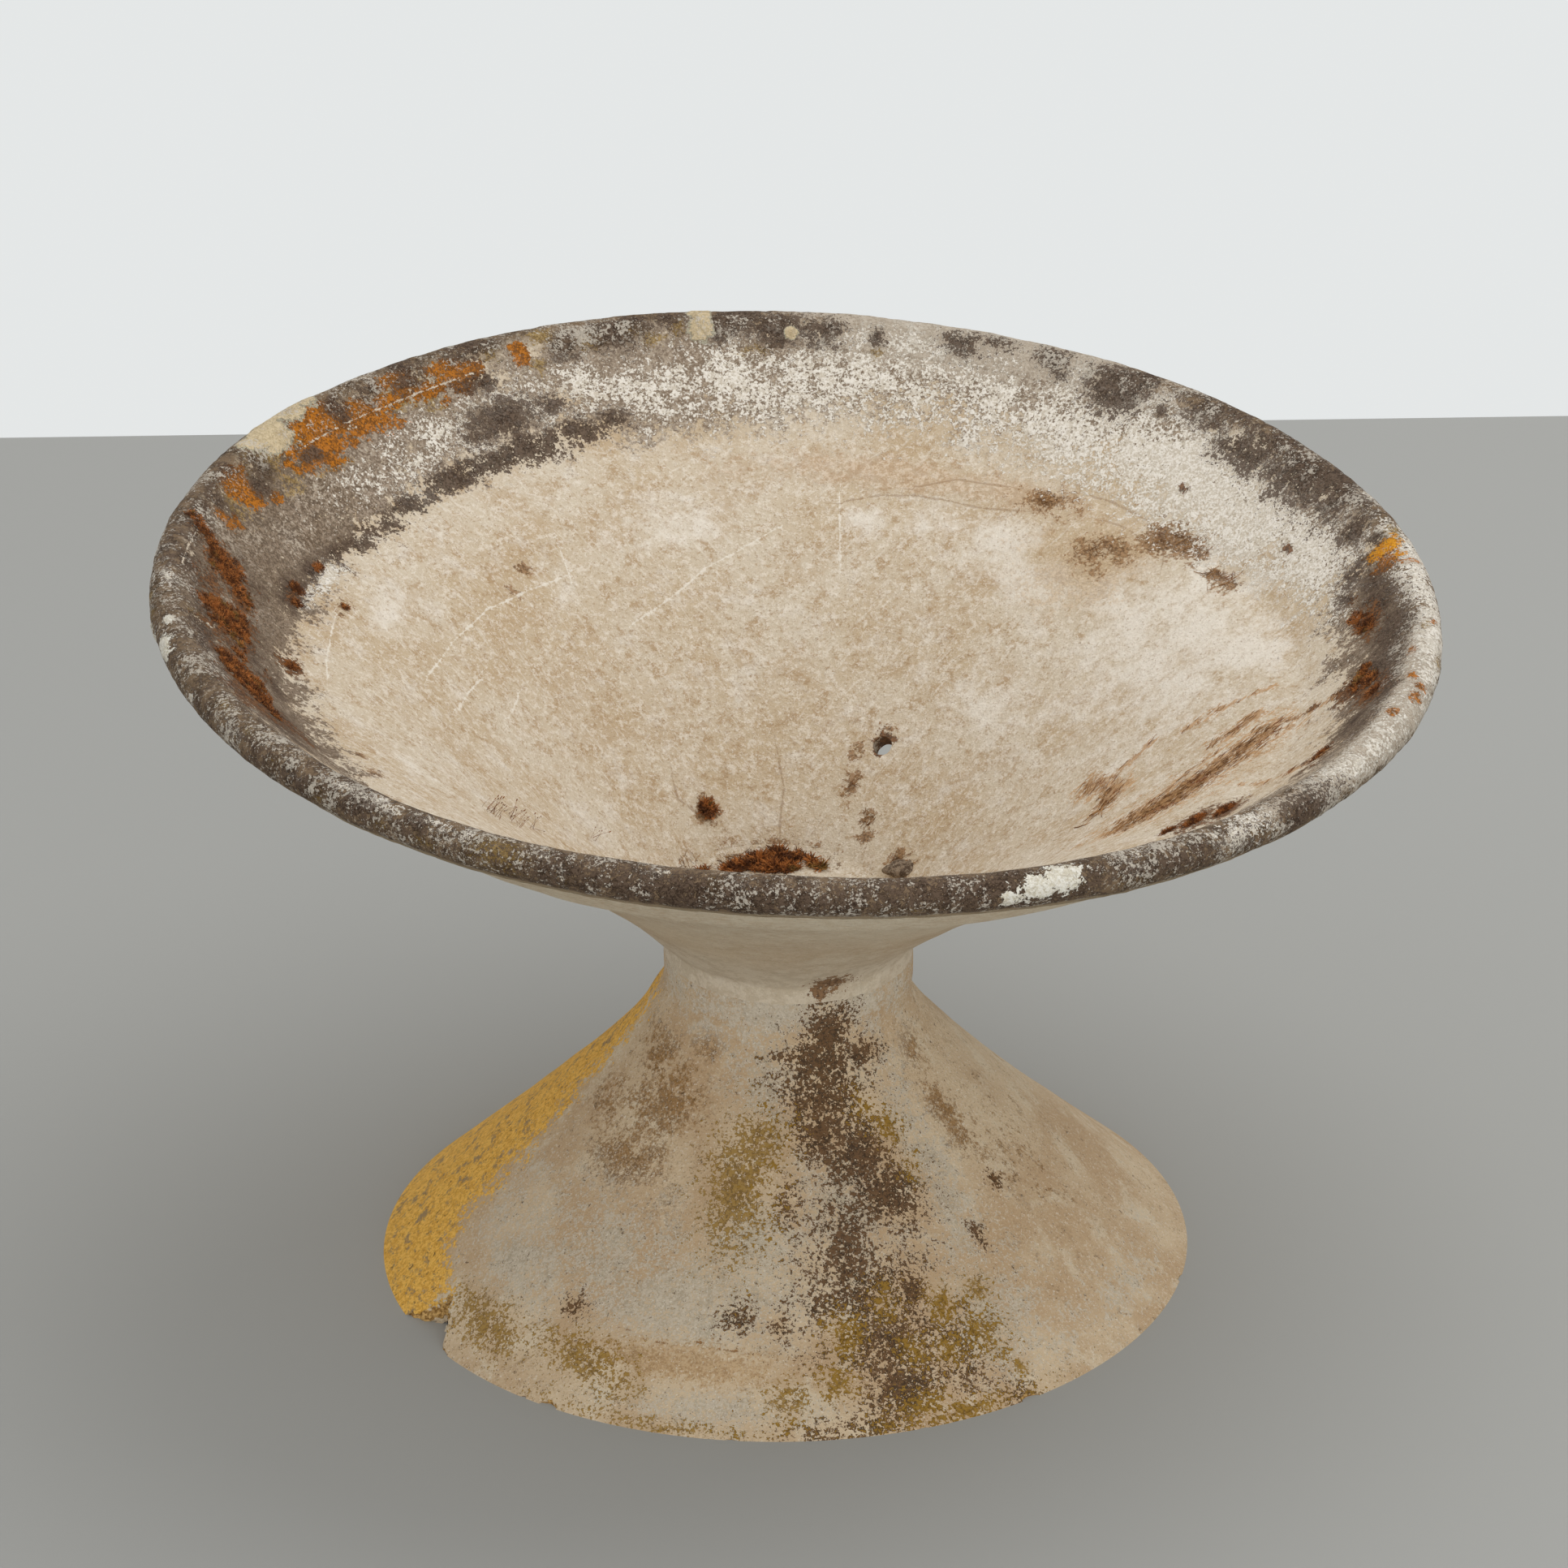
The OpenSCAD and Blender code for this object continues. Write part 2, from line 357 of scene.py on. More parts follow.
class Coats:
    """A material laid on in coats, each covering the last where its mask is 1."""

    def __init__(self, name, roughness=0.92):
        self.material = bpy.data.materials.new(name)
        self.material.use_nodes = True
        self.tree = self.material.node_tree
        self.skin = self.tree.nodes["Principled BSDF"]
        self.skin.inputs["Roughness"].default_value = roughness
        self.skin.inputs["Specular IOR Level"].default_value = 0.2
        self.place = self.tree.nodes.new("ShaderNodeTexCoord").outputs["Object"]
        self.colour = None
        self.height = None

    def put(self, socket, value):
        """Links a value or sets it. A colour comes as its usual 0 to 255 values."""
        if isinstance(value, bpy.types.NodeSocket):
            self.tree.links.new(value, socket)
        elif isinstance(value, tuple):
            socket.default_value = (*linear(*value), 1)
        else:
            socket.default_value = value

    def reckon(self, what, *values):
        node = self.tree.nodes.new("ShaderNodeMath")
        node.operation = what
        for socket, value in zip(node.inputs, values):
            self.put(socket, value)
        return node.outputs[0]

    def times(self, a, b):
        return self.reckon("MULTIPLY", a, b)

    def plus(self, a, share, b):
        """A share of a, and b on top of it."""
        return self.reckon("MULTIPLY_ADD", a, share, b)

    def mixed(self, a, share, b):
        """A share of a, and b for the rest."""
        return self.plus(a, share, self.times(b, 1 - share))

    def without(self, a):
        return self.reckon("SUBTRACT", 1, a)

    def grain(self, size, rough=0.6, stretch=(1, 1, 1), at=0.0, place=None):
        """Cloudy noise between 0 and 1, from lumps size millimetres across down to half of one."""
        moved = self.tree.nodes.new("ShaderNodeMapping")
        self.put(moved.inputs["Vector"], place or self.place)
        moved.inputs["Location"].default_value = (at, at * 0.7, at * 1.3)
        moved.inputs["Scale"].default_value = stretch
        node = self.tree.nodes.new("ShaderNodeTexNoise")
        self.put(node.inputs["Vector"], moved.outputs[0])
        node.inputs["Scale"].default_value = 1 / (size * MM)
        node.inputs["Detail"].default_value = math.log2(size / 0.5)
        node.inputs["Roughness"].default_value = rough
        return node.outputs["Fac"]

    def painted(self, name, output="Fac"):
        node = self.tree.nodes.new("ShaderNodeAttribute")
        node.attribute_name = name
        return node.outputs[output]

    def between(self, value, low, high):
        """0 below low, 1 above high, and a soft climb between them."""
        node = self.tree.nodes.new("ShaderNodeMapRange")
        node.interpolation_type = "SMOOTHSTEP"
        self.put(node.inputs["Value"], value)
        node.inputs["From Min"].default_value = low
        node.inputs["From Max"].default_value = high
        return node.outputs["Result"]

    def blend(self, a, b, share):
        node = self.tree.nodes.new("ShaderNodeMix")
        node.data_type = "RGBA"
        self.put(node.inputs["Factor"], share)
        self.put(node.inputs[6], a)
        self.put(node.inputs[7], b)
        return node.outputs[2]

    def flecks(self, name, *grains, soft=0.2, more=0.0):
        """Where a painted patch shows: each grain, with its share, breaks the patch up."""
        field = self.painted(name)
        for grain, share in grains:
            field = self.plus(self.reckon("SUBTRACT", grain, 0.5), share, field)
        return self.between(field, -more, soft - more)

    def tint(self, colour, grain, low, high, share=1.0, height=0.0):
        """A thin wash of colour where a grain climbs from low to high."""
        self.coat(colour, self.times(self.between(grain, low, high), share), height)

    def film(self, light, dark, name, grains, share=1.0, soft=0.3, height=0.0, more=0.0):
        """A painted patch in two colours that mingle in specks, broken up by its grains."""
        mask = self.flecks(name, *grains, soft=soft, more=more)
        fine = self.times(self.reckon("ADD", self.speck, self.flour), 0.5)
        mingled = self.blend(dark, light, self.between(fine, 0.43, 0.57))
        self.coat(mingled, self.times(mask, share), height)

    def line(self, colour, name, core, side, ragged, share=1.0, height=0.0):
        """A thin line along a painted distance: whole up to its core, gone at its ragged side."""
        off = self.plus(self.flour, -ragged, self.reckon("ABSOLUTE", self.painted(name)))
        mask = self.without(self.between(off, core - ragged / 2, side - ragged / 2))
        self.coat(colour, self.times(mask, share), height)

    def coat(self, colour, mask=None, height=0.0):
        self.colour = colour if mask is None else self.blend(self.colour, colour, mask)
        if height:
            self.rise(self.times(mask, height))

    def rise(self, height):
        self.height = height if self.height is None else self.reckon("ADD", self.height, height)

    def done(self):
        """Joins colour and relief, whose heights are in millimetres, to the material."""
        self.put(self.skin.inputs["Base Color"], self.colour)
        relief = self.tree.nodes.new("ShaderNodeBump")
        relief.inputs["Distance"].default_value = MM
        relief.inputs["Strength"].default_value = 1
        self.put(relief.inputs["Height"], self.height)
        self.put(self.skin.inputs["Normal"], relief.outputs["Normal"])
        return self.material


skirt_out = cubic(SKIRT, steps=100) + [(NECK_RADIUS, 203), (NECK_RADIUS, JOINT_HEIGHT)]
skirt_in = beside(cubic(SKIRT, steps=24), SHEET)
skirt_in[0] = (skirt_out[0][0] - SHEET / math.sin(SKIRT_SLOPE), 0)
foot_section = skirt_out + [(NECK_RADIUS - SHEET, JOINT_HEIGHT)] + skirt_in[::-1]
foot = turned("foot", finely(foot_section, step=9), steps=528)

# the break in the edge: a rough block is pushed in from below and cut away
NOTCH_TURN = 206.3
NOTCH_TOP = 36
BITE_STEP = 2.5
BITE_LEANS = 0.12
NOTCH = (
    (14, -26), (-1, -26), (-6, -17), (-8, -12), (-18.5, -4), (-21, 0), (-15.5, 6), (-15.8, 9.5),
    (-10, 17), (-6.5, 22), (-4.2, 26), (-3, 30), (-2.2, 35), (14, 36),
)
CHIP_TOP = 14
# small chips: turn, length along the edge and depth
CHIPS = (
    (234.3, 15, 4), (305.8, 15, 3.5), (230.2, 5, 1.6), (262, 9, 1.2), (289, 7, 1.0), (347, 10, 1.6),
)


def bite(turn, outline, top, roughness):
    """A ragged block on the foot's edge, built up from an outline of the broken place."""
    choose()
    bpy.ops.mesh.primitive_plane_add(size=MM)
    block = bpy.context.object
    bpy.ops.object.mode_set(mode="EDIT")
    bpy.ops.mesh.select_all(action="SELECT")
    bpy.ops.mesh.merge(type="CENTER")
    sides = zip(outline, outline[1:] + outline[:1])
    ring = [p for a, b in sides for p in finely([a, b], BITE_STEP)[:-1]]
    bpy.ops.transform.translate(value=(ring[0][0] * MM, ring[0][1] * MM, -3 * MM))
    for here, there in zip(ring, ring[1:] + ring[:1]):
        step = ((there[0] - here[0]) * MM, (there[1] - here[1]) * MM, 0)
        bpy.ops.mesh.extrude_region_move(TRANSFORM_OT_translate={"value": step})
    bpy.ops.mesh.select_all(action="SELECT")
    bpy.ops.mesh.remove_doubles(threshold=0.01 * MM)
    bpy.ops.mesh.edge_face_add()
    for layer in range(round(top / BITE_STEP)):
        bpy.ops.mesh.extrude_region_move(TRANSFORM_OT_translate={"value": (0, 0, BITE_STEP * MM)})
    bpy.ops.mesh.select_all(action="SELECT")
    bpy.ops.mesh.normals_make_consistent(inside=False)
    bpy.ops.object.mode_set(mode="OBJECT")
    rough = points_of(block)
    rough += np.random.default_rng(int(turn)).normal(0, roughness, rough.shape)
    # it leans in as it climbs, so that the broken face shows from above
    rough[:, 0] -= np.clip(rough[:, 2], 0, None) * BITE_LEANS
    put_points(block, rough)
    block.matrix_world = (Matrix.Rotation(math.radians(turn), 4, "Z")
                          @ Matrix.Translation((SKIRT[0][0] * MM, 0, 0)))
    return block


def cut_away(piece, blocks):
    choose(*blocks)
    if len(blocks) > 1:
        bpy.ops.object.join()
    taken = piece.modifiers.new("taken", "BOOLEAN")
    taken.operation = "DIFFERENCE"
    taken.object = blocks[0]
    taken.solver = "EXACT"
    settle(piece, taken)
    bpy.data.objects.remove(blocks[0])


bites = [bite(NOTCH_TURN, list(NOTCH), NOTCH_TOP, roughness=0.8)]
for turn, long, deep in CHIPS:
    chip = [(8, -long / 2), (-0.6 * deep, -long / 3), (-deep, long / 8),
            (-0.3 * deep, long / 2), (8, long / 2)]
    bites.append(bite(turn, chip, CHIP_TOP, roughness=0.3))
cut_away(foot, bites)

upright = points_of(foot)
turn, radius = turn_of(upright), np.hypot(upright[:, 0], upright[:, 1])
outline_r, outline_z = np.transpose(skirt_out)
shell_mid = np.interp(upright[:, 2], outline_z, outline_r) - SHEET * 0.7
outside = radius > shell_mid
lumpy = ramp(upright[:, 2], 8, 28) * np.clip((JOINT_HEIGHT - upright[:, 2]) / 30, 0.25, 1)
height = mitre(foot, start=150, end=JOINT_HEIGHT, way=-1)[:, 2]

# where the yellow lichen ends at the front: height and turn
YELLOW_EDGE = (
    (0, 207), (24, 206), (30, 198), (45, 193.5), (65, 192), (95, 190.5), (120, 188.5), (140, 185),
    (165, 188), (185, 187), (200, 178), (212, 170),
)
# stained patches: turn round the axis, height, half length along, half height, strength
DRIP = (
    (289, 188, 10, 14, 1.3), (287, 172, 16, 12, 1.2), (303, 172, 12, 5, 1.0), (273, 176, 12, 3, 0.8),
    (284, 156, 22, 14, 0.9), (291, 150, 14, 12, 1.0), (282, 137, 14, 10, 1.1), (292, 125, 18, 12, 1.1),
    (296, 104, 17, 11, 1.1), (284, 92, 16, 16, 0.6), (283, 76, 20, 16, 0.7), (286, 60, 30, 22, 0.7),
    (294, 60, 8, 6, 1.2), (277, 58, 8, 6, 0.8), (288, 38, 34, 20, 0.8), (288, 17, 16, 11, 1.2),
    (284, 4, 60, 5, 0.6), (298, 32, 26, 22, 0.4), (301, 47, 16, 8, 0.3), (270, 106, 14, 16, 0.2),
    (261, 54, 9, 6, 0.6), (269, 50, 7, 6, 0.5), (231, 44, 7, 4, 0.9), (313, 72, 4, 6, 0.6),
    (326, 91, 4, 3, 0.9), (304, 3, 14, 5, 0.8), (296, 137, 16, 10, 0.4), (288, 203, 6, 10, 0.7),
)
OCHRE = (
    (258, 112, 16, 22, 1.1), (262, 134, 14, 12, 1.0), (256, 96, 10, 8, 0.8), (304, 132, 8, 7, 0.8),
    (299, 50, 9, 8, 0.9), (306.5, 52, 9, 7, 0.9), (304, 33, 12, 9, 0.9), (291, 35, 9, 7, 0.8),
    (280, 45, 9, 8, 0.9), (278, 24, 10, 6, 0.9), (290, 9, 14, 6, 0.9), (307, 14, 5, 4, 0.8),
    (297, 31, 10, 6, 0.8), (288, 57, 10, 8, 0.7), (217, 20, 24, 8, 1.0), (211, 24, 14, 5, 0.9),
    (237, 24, 20, 8, 1.0), (244, 17, 14, 6, 0.7), (231, 28, 10, 6, 0.7), (270, 16, 12, 8, 0.7),
    (250, 3, 80, 4, 0.3), (306, 112, 8, 8, 0.3), (295, 3, 50, 4, 0.8), (298, 146, 10, 8, 0.5),
)
SMUDGE = (
    (212, 165, 34, 26, 0.9), (207, 128, 34, 26, 0.8), (224, 112, 34, 16, 1.2), (228, 145, 34, 30, 1.0),
    (236, 178, 24, 16, 0.8), (238, 95, 40, 20, 0.5), (326, 128, 16, 30, 1.0), (330, 160, 20, 24, 0.5),
    (252, 30, 60, 10, 0.9), (340, 90, 60, 50, 0.3), (218, 190, 26, 12, 0.5), (320, 60, 26, 30, 0.2),
)
CHALK = (
    (250, 60, 110, 30, 0.9), (215, 55, 60, 26, 0.8), (262, 90, 40, 30, 0.9), (285, 90, 40, 60, 1.0),
    (265, 160, 22, 34, 1.1), (310, 110, 18, 60, 0.8), (306, 40, 40, 40, 0.9), (260, 12, 110, 12, 0.7),
    (200, 60, 20, 40, 0.6), (330, 20, 120, 16, 0.3), (300, 170, 12, 26, 0.7), (230, 70, 70, 30, 0.7),
)
GREYED = (
    (312, 185, 22, 22, 0.9), (262, 195, 40, 16, 1.1), (316, 140, 10, 30, 0.6), (200, 200, 30, 14, 0.6),
    (270, 205, 120, 20, 1.4), (330, 203, 60, 14, 1.0),
)
SMEAR = ((253, 31, 60, 8, 1.3), (240, 33, 20, 6, 0.9))
from_right = (turn + 60) % 360 - 60
inside_edge = np.radians(np.interp(height, *np.transpose(YELLOW_EDGE)) - from_right) * radius
from_back = np.radians(from_right - 118 + height * 0.12) * radius
stain(foot, "yellow", np.where(outside, np.minimum(inside_edge / 22 - 0.1, from_back / 60), CLEAN))
for name, spots in (("drip", DRIP), ("ochre", OCHRE), ("smudge", SMUDGE), ("chalk", CHALK),
                    ("greyed", GREYED), ("smear", SMEAR)):
    stain(foot, name, np.where(outside, patches(turn, height, spots, radius), CLEAN))
on_ridge = outside & (turn > 239) & (turn < 266)
stain(foot, "ridge", np.where(on_ridge, np.abs(height - 40 - np.sin(turn * 0.5)), FAR_OFF))
in_sheet = np.abs(radius - shell_mid - SHEET * 0.15) < SHEET * 0.5
stain(foot, "broken", np.where(in_sheet & (height < 40), 1.0, -1.0))

set_down(foot, FOOT_PLACE)
nudge_neck(foot)
for size, tall in ((150, 3.2), (45, 1.1), (14, 0.35)):
    swell(foot, size, tall, lumpy)
standing = points_of(foot)
standing[:, 2] = np.clip(standing[:, 2], 0, None)
put_points(foot, standing)
bpy.ops.object.shade_smooth_by_angle(angle=math.radians(45))


def cement_grains(c, rough):
    """The grains that all the cement is clouded and speckled with, from broad to dusty."""
    c.cloud, c.veil = c.grain(90, 0.6), c.grain(30, rough, at=2)
    c.mottle, c.flour = c.grain(12, 0.82, at=4), c.grain(5, 0.86, at=5)
    c.crumb, c.speck, c.dust = c.grain(2.6, 0.8, at=7), c.grain(1.8, 0.7, at=9), c.grain(1, at=8)


def worn_outside(c):
    """The outside of foot and bowl: tan cement, cloudy and finely speckled."""
    cement_grains(c, 0.72)
    c.coat(c.blend((205, 184, 153), (187, 160, 126), c.between(c.cloud, 0.38, 0.6)))
    c.tint((214, 200, 174), c.veil, 0.5, 0.64, 0.6)
    c.tint((168, 141, 107), c.mottle, 0.54, 0.66, 0.55)
    c.tint((220, 208, 186), c.crumb, 0.54, 0.68, 0.55)
    c.tint((156, 130, 98), c.speck, 0.56, 0.7, 0.5)


def coarsely(c, coarse):
    """Relief in all the grains together."""
    for grain, height in ((c.veil, 1.0), (c.mottle, 1.0 * coarse), (c.flour, 0.9 * coarse),
                          (c.crumb, 0.6 * coarse), (c.speck, 0.35 * coarse), (c.dust, 0.15)):
        c.rise(c.times(grain, height))


c = Coats("foot_cement")
worn_outside(c)
fine = (c.mottle, 3), (c.flour, 4), (c.crumb, 3)
broad = (c.veil, 3), *fine
c.film((148, 110, 60), (108, 75, 36), "smudge", broad, 0.85, 1.1)
c.film((206, 196, 178), (184, 173, 154), "greyed", broad, 0.85, 1.2)
c.film((199, 188, 169), (168, 157, 137), "chalk", (*broad, (c.speck, 3)), 0.82, 0.9, more=0.3)
c.tint((96, 77, 56), c.mixed(c.grain(3, 0.85, at=11), 0.7, c.mottle), 0.59, 0.65, 0.85)
c.film((196, 166, 126), (170, 138, 98), "smear", ((c.veil, 2), *fine), 0.8, 0.7)
c.tint((226, 220, 206), c.grain(1.6, 0.6, at=21), 0.62, 0.7, 0.5)
lacy = (c.veil, 2), (c.mottle, 3), (c.flour, 5), (c.crumb, 7), (c.speck, 4)
c.film((102, 71, 40), (52, 33, 16), "drip", lacy, 0.93, 0.4, -0.1, more=0.35)
c.film((156, 122, 50), (112, 82, 26), "ochre", lacy, 0.88, 0.4, 0.1, more=0.1)
grown = (c.mottle, 4), (c.flour, 4), (c.crumb, 3)
c.film((238, 188, 88), (208, 154, 56), "yellow", grown, 0.95, 0.3, 0.15)
well_in = c.flecks("yellow", soft=1.0)
c.coat((156, 130, 92), c.times(well_in, c.between(c.grain(14, 0.8, (1, 1, 2), at=33), 0.53, 0.62)))
c.tint((126, 96, 52), c.grain(4, 0.85, at=61), 0.59, 0.66, well_in)
c.line((150, 112, 72), "ridge", 0.2, 0.8, ragged=4, height=-0.4)
c.coat(c.blend((140, 104, 56), (208, 170, 108), c.between(c.crumb, 0.4, 0.6)),
       c.flecks("broken", (c.crumb, 1.5), soft=0.25), 0.5)
coarsely(c, 1)
foot.data.materials.append(c.done())
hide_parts("foot_shell")
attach(foot, "root")


# ---------------------------------------------------------------- Neck lining
# A strip of the same stuff, lapped by hand inside the neck while it was soft, to
# join foot and bowl. It only shows from below.
LINING = 9
LINING_LOW = 160
LINING_TOP = 228
lining_in = [p for p in beside(cubic(SKIRT, steps=60), SHEET) if p[1] > LINING_LOW]
lining_face = lining_in + [(NECK_RADIUS - SHEET, 208), (NECK_RADIUS - SHEET, LINING_TOP)]
lining_back = beside(lining_face, LINING)
lining_back[-1] = (NECK_RADIUS - SHEET - LINING, LINING_TOP)
lining = turned("lining", finely(lining_face + lining_back[::-1], step=3), steps=160)
mitre(lining, start=190, end=220, way=-1)
set_down(lining, FOOT_PLACE)
nudge_neck(lining)
swell(lining, 18, 1.2)
bpy.ops.object.shade_smooth_by_angle(angle=math.radians(60))

mortar = Coats("mortar")
trowel = mortar.grain(20, 0.65, (1, 1, 4))
lump = mortar.grain(4, 0.7, at=4)
mortar.coat(mortar.blend((130, 120, 106), (172, 160, 142), trowel))
mortar.tint((96, 84, 70), lump, 0.58, 0.7)
mortar.rise(mortar.times(trowel, 1.2))
mortar.rise(mortar.times(lump, 0.8))
lining.data.materials.append(mortar.done())
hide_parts("neck_lining")
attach(lining, "root")


# ---------------------------------------------------------------- Bowl
# Pan and upturned band in one sheet, moulded over a form. The inside is bleached
# cement, weathered at the band, and a drain hole is drilled through the pan.
BOWL_PLACE = FOOT_PLACE + Vector((0, 0, JOINT_HEIGHT))
RIM_CENTRE = (387.4, 244)
RIM_RADIUS = 12
BAND = math.radians(40.29)
PAN_SLOPE = math.radians(17)
CREASE = (296.9, 228.4)
CREASE_RADIUS = 35
PAN = ((78.5, 10), (78.5, 26), (256.1, 166.8), (310.6, 183.4))
LAP = 19
HOLE_TURN = 62.6
HOLE_AT = (137.6, 77)
HOLE_RADIUS = 6.9
HOLE_SLANT = math.radians(-40.5)
FRONT_RISE = 4.5
FOLD_END = 417
ROUND_TO_OUTSIDE = 440


def by_band(up, d):
    """A point beside the band's middle line: up along it from the rim's centre, and d inwards."""
    return (RIM_CENTRE[0] + up * math.cos(BAND) - d * math.sin(BAND),
            RIM_CENTRE[1] + up * math.sin(BAND) + d * math.cos(BAND))


def round_crease(radius, steps):
    low, high = PAN_SLOPE - math.pi / 2, BAND - math.pi / 2
    angles = [low + (high - low) * i / steps for i in range(steps + 1)]
    return [(CREASE[0] + radius * math.cos(a), CREASE[1] + radius * math.sin(a)) for a in angles]


under = [(NECK_RADIUS, 0), (NECK_RADIUS, 5)] + cubic(PAN, steps=40)
under += round_crease(CREASE_RADIUS + SHEET, steps=6)[1:]
under = finely(under + [by_band(0, 0)], step=9)
pan_in = beside(cubic(PAN, steps=78), SHEET)
inside = [(NECK_RADIUS - SHEET, 0)] + pan_in + round_crease(CREASE_RADIUS, steps=7)[1:]
inside = finely(inside + [by_band(-LAP - 1, RIM_RADIUS)], step=3.4)
inside.append(by_band(-LAP + 1, RIM_RADIUS - 0.35))
edge = [by_band(0, 5.5), by_band(-LAP + 2, 5.5), by_band(-LAP + 2, RIM_RADIUS - 1.5)]
bowl = turned("bowl", under + edge + inside[::-1], steps=576)

# the drain hole, drilled square to the pan and worn a little oval
choose()
bpy.ops.mesh.primitive_cylinder_add(vertices=40, radius=HOLE_RADIUS * MM, depth=60 * MM)
drill = bpy.context.object
bpy.ops.object.mode_set(mode="EDIT")
bpy.ops.mesh.select_all(action="SELECT")
bpy.ops.mesh.subdivide(number_cuts=1)
bpy.ops.object.mode_set(mode="OBJECT")
worn_round = points_of(drill)
around = np.arctan2(worn_round[:, 1], worn_round[:, 0])
worn_round[:, :2] *= (1 + 0.03 * np.sin(2 * around + 1) + 0.02 * np.sin(5 * around))[:, None]
put_points(drill, worn_round)
hole_frame = (Matrix.Rotation(math.radians(HOLE_TURN), 4, "Z")
              @ Matrix.Translation((HOLE_AT[0] * MM, 0, HOLE_AT[1] * MM))
              @ Matrix.Rotation(HOLE_SLANT, 4, "Y"))
drill.matrix_world = hole_frame
cut_away(bowl, [drill])


def reach_of(points):
    """How far out a point lies from the bowl's axis, on over the rim and down outside.

    Up to the crest of the rim it is the radius. Beyond, the way over the fold is added,
    and on the underside it grows again from the rim back to the neck."""
    radius = np.hypot(points[:, 0], points[:, 1])
    out, up = radius - RIM_CENTRE[0], points[:, 2] - RIM_CENTRE[1]
    angle = np.arctan2(up, out)
    fold = RIM_CENTRE[0] + RIM_RADIUS * np.clip(math.pi / 2 - angle, 0, math.pi * 0.78)
    across = out * -math.sin(BAND) + up * math.cos(BAND)
    down = -(out * math.cos(BAND) + up * math.sin(BAND))
    line = np.array(inside[1:])
    inner = points[:, 2] > np.interp(radius, line[:, 0], line[:, 1]) - 4
    reach = np.where(out > 0, fold, radius)
    leg = (down > 0) & (across < 2)
    reach = np.where(leg, FOLD_END + down, reach)
    return np.where(inner | (out > 0) | (leg & (down < 13)), reach,
                    ROUND_TO_OUTSIDE + (RIM_CENTRE[0] - radius))


# painted patches: turn round the axis, reach, half length along, half width across, strength
FILM = (
    (174, 350, 100, 18, 2.5), (197, 345, 70, 20, 2.3), (150, 352, 60, 18, 2.2), (5, 360, 50, 12, 1.8),
    (346, 366, 70, 12, 2.0), (200, 335, 160, 26, 1.0), (280, 362, 480, 26, 1.0), (160, 330, 60, 12, 1.8),
    (3, 364, 70, 16, 2.0),
)
HAZE = (
    (130, 350, 80, 18, 2.0), (105, 342, 60, 12, 2.2), (95, 360, 130, 14, 2.4), (60, 360, 120, 12, 2.3),
    (25, 358, 60, 12, 2.2),
)
SMOOTH = (
    (72, 381, 112, 20, 1.5), (45, 365, 14, 7, 1.2), (118.5, 369, 7, 7, 1.0), (30, 396, 40, 10, 0.2),
    (338, 394, 110, 14, 1.5), (350, 388, 60, 10, 1.3), (318, 392, 50, 8, 1.0), (310, 398, 24, 10, 0.7),
)
